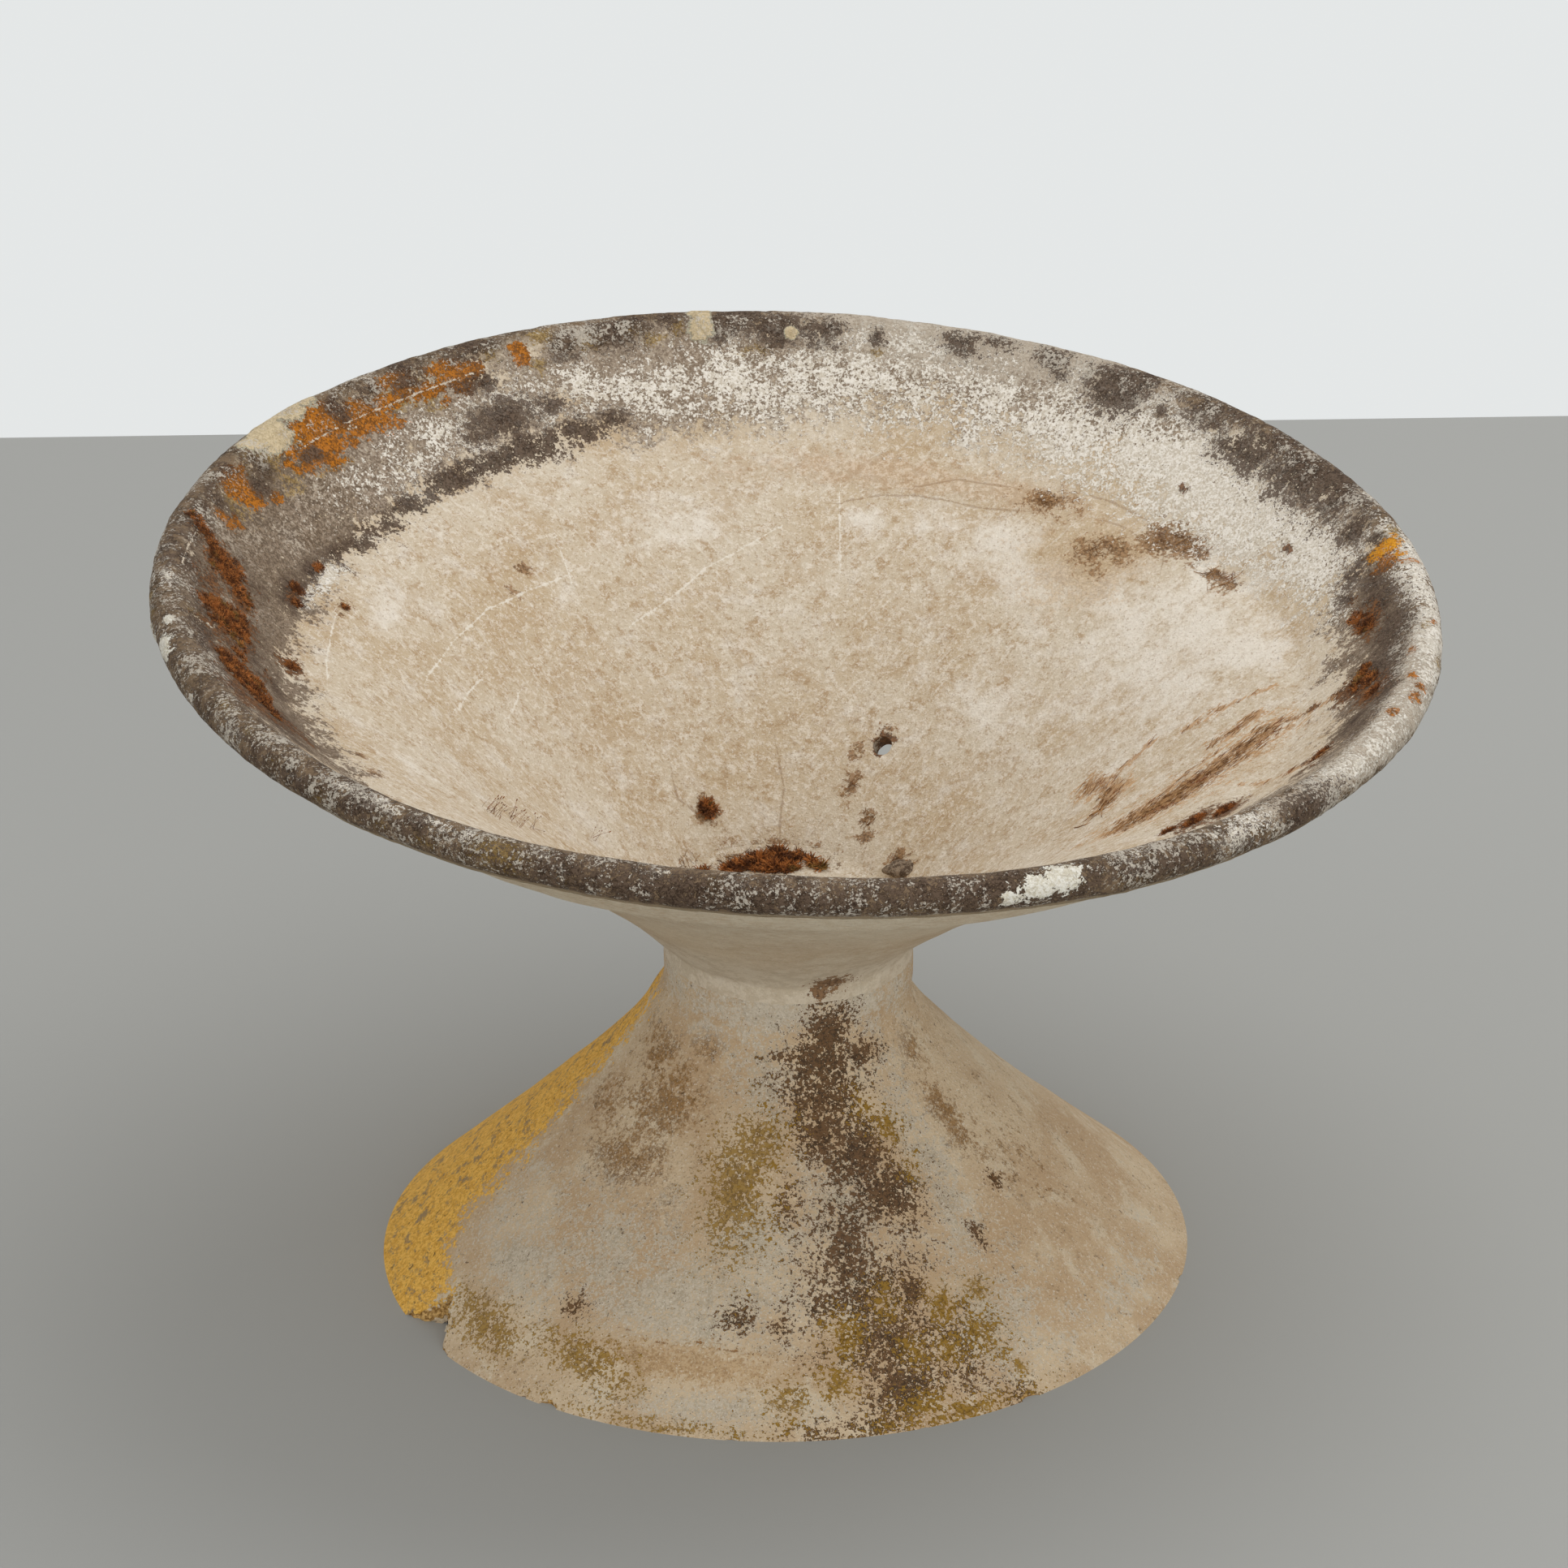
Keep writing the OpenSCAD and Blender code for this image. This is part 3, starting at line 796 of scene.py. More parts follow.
DARK = (
    (168, 320, 16, 6, 1.2), (161, 319, 14, 5, 1.0), (156, 317, 12, 5, 0.9), (150.5, 312, 14, 6, 1.1),
    (145, 312, 12, 6, 1.0), (140, 315, 16, 6, 1.0), (133, 320, 26, 6, 1.1), (127, 322, 26, 6, 1.1),
    (121, 324, 26, 7, 1.1), (115, 328, 24, 6, 1.0), (110.5, 331, 12, 5, 0.9), (123, 342, 24, 10, 1.0),
    (127, 337, 14, 6, 0.8), (117, 345, 16, 6, 0.8), (160, 384, 20, 6, 0.9), (170.5, 377, 20, 7, 1.1),
    (164.5, 375, 8, 10, 0.9), (155.5, 371, 10, 8, 0.9), (157.5, 365, 8, 6, 1.0),
    (148.7, 361.5, 5, 3, 1.2), (147.2, 361, 4, 4, 1.2), (141, 376, 8, 7, 1.2), (136.5, 377, 11, 6, 0.9),
    (132, 374, 12, 5, 0.9), (131, 389, 10, 16, 1.1), (123.5, 384, 15, 8, 1.2), (124, 363, 20, 6, 0.8),
    (113.3, 374, 8, 6, 1.4), (108.3, 377.5, 12, 7, 1.5), (105.6, 385, 9, 7, 1.2),
    (102.4, 385, 9, 7, 1.2), (95, 382, 30, 9, 1.3), (92, 378, 16, 9, 1.3), (97.5, 372, 8, 4, 1.0),
    (87.3, 375, 12, 7, 1.3), (81.6, 373.5, 4, 4, 1.4), (73, 376, 13, 8, 0.9), (70, 383, 16, 6, 0.8),
    (63.6, 380, 11, 8, 1.1), (62.5, 372, 8, 5, 0.8), (55.8, 374.5, 14, 9, 1.7), (53.4, 385, 8, 6, 1.4),
    (50, 369, 6, 4, 0.9), (46, 382, 17, 10, 1.0), (42, 384, 20, 8, 0.9), (44, 373, 12, 5, 0.9),
    (38, 367, 22, 8, 1.2), (36, 379, 22, 10, 1.0), (31, 377, 26, 14, 1.4), (27, 383, 20, 10, 1.5),
    (24, 375, 12, 12, 1.2), (22, 385, 14, 6, 1.1), (18.7, 371, 9, 8, 1.3), (15, 376, 6, 5, 0.9),
    (36, 400, 90, 12, 0.9), (12.5, 357, 12, 7, 0.9), (9.5, 350, 12, 5, 0.8), (354, 366, 60, 11, 0.9),
    (346, 372, 50, 8, 0.7), (338, 372, 40, 9, 0.4), (225, 402, 180, 16, 0.7), (262, 402, 140, 16, 1.1),
    (285, 402, 90, 16, 1.2), (303, 402, 60, 14, 0.8), (319.5, 400, 26, 10, 1.2), (318, 404, 20, 6, 0.7),
    (195, 402, 60, 12, 0.5), (176, 388, 60, 10, 0.5), (90, 410, 320, 14, 0.4), (225, 378, 260, 12, 0.6),
    (203, 342, 26, 22, 0.8), (192, 326, 40, 8, 0.4), (192, 372, 40, 12, 0.9), (178, 380, 30, 10, 0.8),
    (172, 352, 20, 8, 0.7), (352, 362, 30, 12, 0.9), (0, 366, 26, 10, 0.8), (12, 362, 20, 8, 0.6),
    (340, 360, 30, 8, 0.6), (208, 352, 26, 12, 0.8), (188, 338, 70, 20, 0.3), (200, 370, 70, 16, 0.5),
    (184, 368, 50, 14, 0.6), (174, 345, 40, 20, 0.3), (6, 364, 40, 12, 0.8), (358, 368, 36, 12, 0.9),
    (168.5, 381, 14, 7, 1.0),
)
WHITE = (
    (137, 335, 30, 18, 0.2), (131, 345, 30, 14, 0.5), (128, 331, 30, 14, 0.4), (138, 318, 20, 8, 0.5),
    (146, 340, 50, 18, -0.2), (113, 348, 40, 16, 0.7), (105, 345, 50, 16, 0.7), (97, 344, 46, 18, 0.8),
    (91, 350, 40, 18, 0.8), (84, 348, 50, 18, 0.8), (76, 348, 50, 18, 0.8), (68, 348, 50, 18, 0.8),
    (60, 347, 50, 19, 0.9), (52, 348, 50, 18, 1.4), (42, 347, 60, 17, 1.7), (32, 347, 50, 16, 1.6),
    (85, 372, 200, 9, 0.35), (122, 352, 40, 14, 0.6), (22, 350, 50, 14, 1.5), (16, 360, 30, 10, 0.9),
    (73, 378, 20, 14, 0.2), (42, 381, 26, 9, 0.3), (22, 392, 30, 8, 0.4), (8, 388, 56, 15, 1.2),
    (356, 394, 60, 12, 1.1), (349, 398, 50, 10, 0.9), (330, 396, 60, 9, 0.7), (325, 390, 40, 7, 0.6),
    (311.5, 397, 18, 8, 1.3), (300, 393, 8, 6, 0.9), (299.5, 402, 6, 4, 0.8), (236, 390, 12, 5, 1.3),
    (230, 391, 16, 5, 1.3), (226.5, 391, 10, 4, 1.1), (240, 393, 5, 5, 1.2), (211.8, 403, 9, 6, 1.2),
    (203, 406, 8, 5, 0.8), (221, 402, 8, 4, 0.6), (247.5, 394, 5, 6, 0.8), (258.5, 391, 12, 5, 0.8),
    (265, 390, 6, 6, 0.7), (160.5, 311, 12, 4, 1.6), (166, 313, 8, 3, 1.2), (176, 404, 60, 12, 0.5),
    (120, 404, 120, 10, 0.3), (70, 404, 100, 10, 0.5), (249.5, 407, 6, 6, 1.0), (183, 388, 14, 5, 0.9),
    (10, 372, 30, 8, 0.6), (336, 386, 60, 10, 0.3),
)
GOLD = ((12.8, 378, 7, 8, 1.3), (12.5, 370, 5, 4, 1.1), (14, 386, 6, 3, 0.8), (10.5, 384, 4, 5, 0.9))
ORANGE = (
    (159.8, 380, 12, 6, 1.3), (160.3, 372, 10, 8, 1.4), (159.5, 362, 10, 6, 0.9), (157, 355, 8, 5, 0.7),
    (166, 369, 7, 7, 1.0), (164.8, 363, 5, 6, 0.9), (144.5, 374, 18, 9, 1.6), (146, 364, 18, 9, 1.4),
    (145.8, 355, 10, 4, 1.2), (150, 368, 10, 4, 1.1), (149.5, 359, 10, 5, 1.0), (152, 364, 8, 4, 0.8),
    (139.5, 372, 14, 5, 1.2), (138.5, 363, 18, 7, 1.1), (135.5, 369, 12, 5, 1.2), (133, 378, 14, 4, 1.3),
    (132.5, 372, 10, 4, 1.2), (130.2, 367, 16, 5, 1.0), (127, 376, 14, 4, 1.1), (125, 371, 12, 4, 1.5),
    (125.5, 364, 10, 5, 1.0), (128, 359, 10, 3, 0.8), (136, 358, 16, 4, 0.8), (141.8, 357, 8, 4, 0.9),
    (118.3, 373, 5, 5, 1.4), (119, 378, 4, 3, 0.8), (12.5, 380, 10, 4, 1.2), (12.2, 374, 6, 6, 1.2),
    (10.3, 369, 4, 4, 1.1), (9, 388, 4, 9, 1.0), (342, 394, 6, 4, 1.2), (344, 394, 4, 4, 1.1),
    (338.2, 387, 5, 4, 1.1), (345.6, 385.5, 6, 3, 1.0), (351, 381, 8, 3, 1.0), (357, 393, 5, 3, 1.0),
    (10.5, 375, 10, 8, 1.0),
)
OCHRES = (
    (243.5, 400, 17, 10, 1.3), (231.6, 405, 8, 6, 1.0), (224.4, 405, 9, 7, 1.1), (218, 400, 8, 6, 0.7),
    (236, 406, 14, 5, 0.8), (245, 408, 12, 5, 0.9), (213, 394, 10, 5, 0.6), (208, 392, 10, 5, 0.6),
    (188, 402, 6, 6, 0.6), (184.5, 404, 8, 6, 0.6), (250, 406, 10, 5, 0.6), (265, 408, 20, 6, 0.5),
    (280, 410, 40, 5, 0.7), (300, 408, 30, 5, 0.6), (115.5, 381, 10, 6, 1.0), (117, 366, 8, 10, 0.5),
    (111, 374, 14, 5, 1.0), (106.5, 378, 8, 5, 0.9), (104, 372, 10, 4, 0.8), (101.5, 379, 6, 6, 0.9),
    (94, 365, 14, 5, 0.5), (81.5, 367, 8, 5, 0.5), (130, 362, 16, 10, 0.5), (122, 377, 12, 6, 0.6),
    (134, 366, 30, 8, 0.5), (153, 356, 20, 8, 0.5), (161, 385, 10, 5, 0.7), (15, 386, 10, 6, 0.7),
    (350, 400, 10, 4, 0.6), (356, 388, 8, 4, 0.6), (146, 352, 30, 6, 0.4), (262.5, 396, 4, 8, 1.1),
    (187.8, 372, 8, 9, 0.9), (150, 372, 70, 16, 0.5), (134, 372, 60, 10, 0.6), (163, 368, 20, 14, 0.5),
)
PALE = (
    (148, 396, 21, 12, 1.0), (151, 384, 19, 11, 1.0), (150.5, 377, 14, 6, 1.0), (154, 386, 8, 9, 0.8),
    (143.5, 398, 12, 12, 1.1), (146, 388, 13, 9, 1.0), (148, 408, 16, 8, 0.9), (99, 390, 9, 12, 0.9),
    (99.3, 376, 8, 7, 1.0), (90.2, 373.5, 4, 3.5, 1.0),
)
CREAM = (
    (292.8, 396, 11, 9, 1.15), (290.3, 401, 12, 8, 1.0), (287.8, 406.5, 8, 5, 1.0),
    (191, 391.5, 4, 3, 1.1), (194.5, 402, 13, 7, 0.9), (189.5, 410, 16, 5, 0.8),
)
SOIL = (
    (203, 362, 22, 14, 1.1), (206, 372, 12, 7, 1.1), (196, 354, 20, 10, 1.1), (200.5, 350, 16, 7, 1.0),
    (185, 352, 26, 13, 1.2), (188, 362, 10, 9, 1.0), (181, 345, 14, 9, 1.0), (177, 345, 20, 10, 1.0),
    (175, 352, 14, 11, 1.0), (178, 362, 20, 10, 0.8), (172, 363, 12, 9, 0.7), (183.6, 312, 8, 6, 1.6),
    (190, 330, 14, 4, 0.7), (204, 332, 22, 12, 0.7), (3, 357, 20, 8, 1.1), (8, 352, 8, 4, 0.7),
    (346, 362, 16, 9, 1.2), (349.5, 349, 14, 10, 1.2), (334, 352, 14, 8, 1.0), (330, 358, 6, 5, 0.9),
    (352, 321, 4, 9, 0.9), (327, 310, 14, 8, 1.5), (325, 297, 16, 9, 1.5), (24.3, 342, 6, 3, 1.0),
    (42.3, 337.5, 3, 2, 1.6), (168, 320, 10, 4, 0.9), (HOLE_TURN, HOLE_AT[0], 5, 3, 1.6),
    (171, 372, 12, 9, 1.0), (173, 358, 14, 11, 1.1), (177, 347, 16, 9, 1.1), (183, 358, 14, 13, 1.1),
    (193, 352, 20, 13, 1.1), (199, 358, 18, 11, 1.1), (206, 352, 10, 8, 1.0), (3, 354, 16, 8, 1.0),
    (349, 354, 16, 9, 1.0), (351, 341, 12, 7, 1.0), (326, 313, 16, 6, 1.1), (322.5, 300, 14, 6, 1.1),
)
ROOTS = (
    (39.5, 310, 14, 9, 1.5), (36, 313, 14, 8, 1.5), (28.5, 308, 9, 7, 1.1), (25.5, 308, 7, 7, 1.0),
    (46, 278, 22, 17, 0.6), (43, 287, 12, 7, 1.1), (56.5, 299, 26, 13, 0.7), (57.5, 301, 10, 7, 1.0),
    (120, 98, 5, 5, 1.7), (63.5, 144.5, 5, 2.5, 1.0), (132.8, 252, 4, 3, 1.6), (136.8, 241, 6, 5, 0.9),
    (69.3, 127, 6, 8, 0.8), (164, 292, 6, 4, 1.0), (166.5, 291, 4, 4, 0.7), (203.6, 289, 3, 3, 1.4),
    (209, 292, 6, 6, 1.1), (67, 111, 5, 7, 1.0), (57, 97, 8, 5, 0.9), (53.5, 89, 7, 5, 0.8),
    (30, 86, 10, 5, 1.2), (90, 74, 40, 6, 0.9), (120, 70, 20, 5, 0.7), (352, 352, 16, 8, 0.8),
)
TAN = (
    (46, 272, 30, 24, 1.6), (43, 288, 16, 12, 1.5), (56.5, 299, 28, 12, 1.2), (336, 235, 50, 14, 0.5),
    (340, 292, 60, 18, 0.5), (290, 120, 200, 60, 0.1), (352, 205, 30, 26, 0.5), (30, 86, 26, 12, 0.7),
)
BLEACH = (
    (18, 245, 90, 50, 0.9), (24, 262, 40, 36, 1.6), (15, 292, 34, 18, 1.3), (34, 258, 30, 24, 1.3),
    (52, 250, 60, 20, 0.8), (108, 252, 44, 12, 0.9), (345, 230, 60, 40, 0.5), (200, 250, 40, 30, 0.4),
    (40, 180, 70, 30, 0.5), (160, 270, 40, 14, 0.5), (62, 268, 60, 12, 0.8), (80, 264, 40, 10, 0.6),
)
WARM = (
    (100, 284, 90, 16, 1.0), (110, 200, 120, 60, 0.6), (170, 220, 120, 60, 0.5), (46, 276, 34, 22, 0.9),
    (70, 130, 80, 40, 0.4), (330, 240, 60, 40, 0.7), (215, 250, 60, 30, 0.5),
)
PEACH = (
    (78, 296, 110, 16, 1.2), (60, 300, 60, 16, 1.2), (98, 290, 40, 14, 0.8), (12, 322, 110, 12, 0.7),
    (35, 322, 60, 8, 0.6),
)
INSIDE_STAINS = {
    "film": FILM, "haze": HAZE, "smooth": SMOOTH, "dark": DARK, "white": WHITE, "orange": ORANGE,
    "ochre": OCHRES, "gold": GOLD, "pale": PALE, "cream": CREAM, "soil": SOIL, "roots": ROOTS,
    "tan": TAN, "bleach": BLEACH, "warm": WARM, "peach": PEACH,
}
# which way the rain has combed roots and dirt on the right, and mirrored on the left
COMB = (math.cos(math.radians(40)), math.sin(math.radians(40)))
# the strokes of roots: half width, strength, and points across the pan in millimetres
STROKES = (
    (16, 1.4, ((209, -106), (226, -100), (243, -92))),
    (12, 1.35, ((240, -92), (257, -81), (275, -69), (293, -50))),
    (5, 1.3, ((261, -36), (273, -31), (285, -23))),
    (6, 1.1, ((252, -78), (266, -66), (280, -55))),
    (3, 1.1, ((228, -78), (246, -62), (262, -52))),
    (4, 1.0, ((247, 2), (264, 8))),
    (2, 1.1, ((268, 6), (299, 7))),
    (3, 1.3, ((306, -44), (323, -46), (339, -56))),
    (4, 1.3, ((300, -150), (318, -160))),
    (2.5, 1.1, ((272, -124), (300, -147))),
    (2.5, 1.2, ((208, -2), (226, 8))),
    (7, 1.4, ((188, -3), (199, -14), (200, -30), (196, -44))),
)
# pale scratches, as points across the pan seen from above, in millimetres
SCRATCHES = (
    ((-228, 53), (-212, 102), (-192, 142), (-167, 170), (-141, 193)),
    ((-99, 177), (-73, 202), (-53, 223), (-22, 243), (-7, 253)),
    ((32, 272), (33, 228)),
    ((-286, 65), (-288, 42), (-289, 22), (-290, 4), (-288, -15)),
    ((-207, 42), (-202, 62), (-195, 81)),
    ((-176, 64), (-170, 87)),
    ((-147, 207), (-139, 188)),
)
# fine brown cracks, drawn the same way
CRACKS = (
    ((-72, 95), (-68, 82), (-52, 80), (-37, 78)),
    ((-5, 125), (0, 105), (-2, 85), (1, 62)),
    ((200, 226), (212, 217), (219, 208), (226, 196)),
    ((226, 205), (238, 188), (236, 172)),
    ((35, 270), (58, 273), (80, 271), (100, 265), (123, 255), (154, 245)),
    ((82, 277), (108, 280), (139, 269)),
    ((193, 249), (206, 240), (218, 228), (235, 209), (253, 202), (279, 172), (296, 148)),
    ((252, 168), (262, 150), (268, 138)),
)
# a broken, dirty place outside, just above the neck: a stained patch as those on the foot
SCAR = ((289, 16, 11, 7, 1.3), (285, 9, 8, 6, 1.1), (295, 12, 6, 6, 0.8))
# where the inner lap ends as a pale hairline: turn and reach
HAIRLINE = (
    (122, 369.5), (128, 367.6), (135, 366.6), (149, 367), (160, 370), (171, 376.5), (180, 380),
)
# the edge of the sand-coloured skin that is left near the back of the pan, drawn the same
# way, and how far to either side of it the distance is kept
LEDGE = (
    (-30, 268), (14, 274), (35, 273), (62, 272), (81, 272), (107, 264), (134, 250), (164, 236),
    (191, 220),
)
LEDGE_SEEN = 60


def off_line(points, line):
    """Signed distance of points from a line of points, in millimetres."""
    best = np.full(len(points), FAR_OFF)
    for a, b in zip(line, line[1:]):
        a, b = np.array(a, float), np.array(b, float)
        way = (b - a) / np.linalg.norm(b - a)
        from_a = points[:, :2] - a
        t = np.clip(from_a @ way, 0, np.linalg.norm(b - a))
        gap = from_a - t[:, None] * way
        away = np.hypot(gap[:, 0], gap[:, 1])
        side_of = np.sign(way[0] * from_a[:, 1] - way[1] * from_a[:, 0])
        best = np.where(away < np.abs(best), away * side_of, best)
    return best


def weather(piece):
    """Paints what the years have left on the upright bowl or rim, and returns it by name."""
    points = points_of(piece)
    turn, reach = turn_of(points), reach_of(points)
    # the wall of the drain hole is dirty all the way through
    from_hole = (points * MM - np.array(hole_frame.translation)) @ np.array(hole_frame.to_3x3())
    in_hole = np.hypot(from_hole[:, 0], from_hole[:, 1]) < (HOLE_RADIUS + 0.8) * MM
    reach = np.where(in_hole, HOLE_AT[0], reach)
    kept = {"reach": reach}
    for name, spots in INSIDE_STAINS.items():
        kept[name] = np.where(reach < 432, patches(turn, reach, spots), CLEAN)
    for kind, lines in (("scratch", SCRATCHES), ("crack", CRACKS)):
        for number, line in enumerate(lines):
            off = off_line(points, line)
            kept[f"{kind}_{number}"] = np.where(reach < ROUND_TO_OUTSIDE, off, FAR_OFF)
    streaks = [strength - np.abs(off_line(points, line)) / wide for wide, strength, line in STROKES]
    kept["streaks"] = np.where(reach < 375, np.max(streaks, axis=0), CLEAN)
    scar = patches(turn, points[:, 2], SCAR, np.hypot(*points[:, :2].T))
    kept["scar"] = np.where(reach > ROUND_TO_OUTSIDE - 1, scar, CLEAN)
    kept["ledge"] = np.clip(off_line(points, LEDGE), -LEDGE_SEEN, LEDGE_SEEN)
    from_line = reach - np.interp(turn, *np.transpose(HAIRLINE))
    in_sight = ((turn > 122) & (turn < 149)) | ((turn > 171) & (turn < 179.5))
    kept["hairline"] = np.where(in_sight, from_line, FAR_OFF)
    # places drawn together along the comb, so that a grain read there comes out in strokes
    x, y = np.abs(points[:, 0]), points[:, 1]
    along, across = x * COMB[0] + y * COMB[1], y * COMB[0] - x * COMB[1]
    combed = np.column_stack((0.13 * along, across, 0.2 * points[:, 2])) * MM
    layer = piece.data.attributes.new("swept", "FLOAT_VECTOR", "POINT")
    layer.data.foreach_set("vector", combed.astype(np.float32).ravel())
    for name, values in kept.items():
        stain(piece, name, values)
    return kept


def raise_front(piece):
    """The front of the lip stands a few millimetres higher than a true circle would."""
    points = points_of(piece)
    off = (turn_of(points) - 268) / 30
    radius = np.hypot(points[:, 0], points[:, 1])
    points[:, 2] += FRONT_RISE * eased(radius, 330, 390) * np.exp(-off * off)
    put_points(piece, points)


weather(bowl)
near_joint = np.clip(mitre(bowl, start=40, end=0, way=1)[:, 2] / 30, 0.25, 1)
raise_front(bowl)
set_down(bowl, BOWL_PLACE, LEAN)
nudge_neck(bowl)
swell(bowl, 150, 3.2, near_joint)
swell(bowl, 45, 1.0, near_joint)
swell(bowl, 14, 0.3)
bpy.ops.object.shade_smooth_by_angle(angle=math.radians(50))


def bare_cement(c):
    """The bare cement of the bowl's inside: sand and cream, bleached in places."""
    cement_grains(c, 0.75)
    warmth = c.plus(c.between(c.painted("warm"), -0.8, 1), 0.1, c.cloud)
    c.coat(c.blend((204, 190, 168), (192, 172, 143), c.between(warmth, 0.4, 0.66)))
    c.tint((168, 139, 103), c.mottle, 0.51, 0.63, 0.7)
    c.tint((176, 148, 112), c.grain(40, 0.75, at=27), 0.5, 0.61, 0.4)
    c.tint((150, 124, 94), c.mixed(c.crumb, 0.4, c.veil), 0.53, 0.64, 0.5)
    bleach = c.plus(c.between(c.painted("bleach"), -0.8, 1), 0.2, c.veil)
    c.tint((231, 224, 212), bleach, 0.5, 0.74, c.plus(c.flour, 1.0, 0.22))
    c.tint((228, 218, 203), c.flour, 0.5, 0.61, 0.58)
    c.tint((160, 132, 98), c.crumb, 0.56, 0.68, 0.5)
    c.tint((232, 224, 210), c.speck, 0.58, 0.7, 0.5)
    c.tint((136, 108, 78), c.grain(2.2, 0.8, at=17), 0.62, 0.72, 0.5)
    combed = c.grain(3, 0.8, at=13, place=c.painted("swept", "Vector"))
    c.tint((226, 217, 202), combed, 0.58, 0.66, 0.4)
    # the last of a sandy skin near the back, which ends at a pale ledge
    peach = c.flecks("peach", (c.mottle, 3), soft=1.0)
    from_ledge = c.plus(c.mottle, 26, c.painted("ledge"))
    c.coat(c.blend((176, 147, 117), (204, 180, 152), c.between(c.flour, 0.42, 0.58)),
           c.times(c.times(peach, c.between(from_ledge, 13, 13.8)), 0.6), 0.5)
    shelf = c.reckon("ABSOLUTE", c.reckon("SUBTRACT", from_ledge, 11.5))
    c.coat((226, 217, 203), c.times(peach, c.without(c.between(shelf, 0.8, 2.2))), 0.3)


def pan_marks(c):
    """Roots pressed into the pan, scratches and cracks."""
    c.film((196, 170, 134), (164, 136, 102), "tan", ((c.veil, 3), (c.mottle, 3), (c.flour, 4)), 0.6, 1.0)
    combed = c.grain(2.4, 0.85, at=37, place=c.painted("swept", "Vector"))
    streak = c.flecks("streaks", (combed, 8), (c.mottle, 4), (c.crumb, 5), soft=0.5)
    c.coat(c.blend((138, 94, 52), (190, 148, 102), c.between(combed, 0.4, 0.6)), c.times(streak, 0.72))
    tangle = (c.mottle, 4), (c.flour, 4), (c.crumb, 2)
    c.film((150, 114, 76), (92, 62, 34), "roots", tangle, 0.85, 0.5, more=0.1)
    for number in range(len(SCRATCHES)):
        c.line((228, 220, 206), f"scratch_{number}", 0, 0.9, ragged=5, share=0.85)
    for number in range(len(CRACKS)):
        c.line((140, 110, 78), f"crack_{number}", 0.3, 0.9, ragged=6, share=0.5)


def crusts(c):
    """What has grown on the cement, from the thin grey film to lichen and soil."""
    small = (c.mottle, 4), (c.flour, 4), (c.crumb, 2)
    broad = (c.veil, 4), *small
    loose = (c.veil, 6), (c.flour, 5), (c.crumb, 8)
    c.film((131, 113, 94), (84, 68, 53), "film", broad, 0.92, 0.55)
    c.film((166, 151, 133), (118, 102, 86), "haze", broad, 0.92, 0.8)
    c.film((196, 185, 168), (160, 146, 128), "film", loose, 0.5, 0.3, more=-2.2)
    c.film((190, 178, 161), (168, 155, 138), "smooth", ((c.veil, 2), (c.flour, 3)), 0.95, 0.5)
    white = (c.veil, 4), (c.mottle, 4), (c.grain(5, 0.9, at=19), 5), (c.crumb, 5), (c.speck, 3)
    c.film((233, 227, 216), (203, 193, 176), "white", white, 0.93, 0.3, 0.25)
    c.film((160, 134, 84), (116, 92, 50), "ochre", small, 0.85, 0.5, 0.1, more=0.2)
    scaly = (c.mottle, 4), (c.flour, 2), (c.crumb, 2)
    c.film((182, 109, 12), (112, 67, 14), "orange", scaly, 0.93, 0.3, 0.25, more=0.05)
    c.film((224, 158, 40), (190, 122, 24), "gold", scaly, 0.93, 0.3, 0.25)
    c.film((96, 79, 65), (54, 40, 30), "dark", (*small, (c.speck, 3)), 0.93, 0.35, 0.15, more=0.1)
    # each pale rosette has a greenish border and a sandy middle
    rosette = (c.mottle, 1.6), (c.flour, 1)
    c.film((176, 170, 148), (156, 149, 128), "pale", rosette, 1, 0.05, more=0.15)
    c.film((208, 190, 156), (184, 166, 132), "pale", rosette, 1, 0.05, 0.4)
    c.tint((176, 154, 118), c.mottle, 0.5, 0.62, c.times(c.flecks("pale", soft=0.6), 0.6))
    flaky = (c.mottle, 3.5), (c.flour, 2.5)
    c.film((228, 224, 212), (206, 198, 178), "cream", flaky, 1, 0.08, 0.4, more=0.1)
    c.film((122, 82, 48), (68, 46, 32), "soil", small, 0.92, 0.5, 0.3)


c = Coats("bowl_cement")
worn_outside(c)
# the underside has grey weathered streaks, painted paler than its cement as painted bounce light from the
# floor beneath; darker streaks lie among them
to_neck = c.plus(c.veil, 60, c.painted("reach"))
grey_streaks_and_painted_bounce = c.without(c.between(to_neck, 640, 730))
c.tint((216, 204, 181), c.grain(7, 0.8, (1, 1, 6), at=12), 0.42, 0.56, c.times(grey_streaks_and_painted_bounce, 0.75))
c.tint((170, 156, 131), c.grain(4, 0.8, (1, 1, 5), at=22), 0.56, 0.66, c.times(grey_streaks_and_painted_bounce, 0.6))
# near the neck, and thinly over all the underside, a pale coat: partly the neck's own pale cement, partly
# painted bounce light under the bowl
necked = c.between(c.plus(c.veil, 40, c.painted("reach")), 700, 760)
c.coat(c.blend((194, 182, 161), (215, 205, 186), c.between(c.mottle, 0.42, 0.58)), c.plus(necked, 0.4, 0.3))
c.film((140, 106, 72), (88, 62, 40), "scar", ((c.mottle, 3), (c.flour, 5)), 0.95, 0.4)
outer_colour = c.colour
# the inside starts afresh, and the outside's colour is laid over it beyond the rim
c.height = None
bare_cement(c)
pan_marks(c)
crusts(c)
c.coat(outer_colour, c.between(c.painted("reach"), ROUND_TO_OUTSIDE - 4, ROUND_TO_OUTSIDE))
coarsely(c, 1)
bowl.data.materials.append(c.done())
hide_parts("bowl_shell")
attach(bowl, "root")


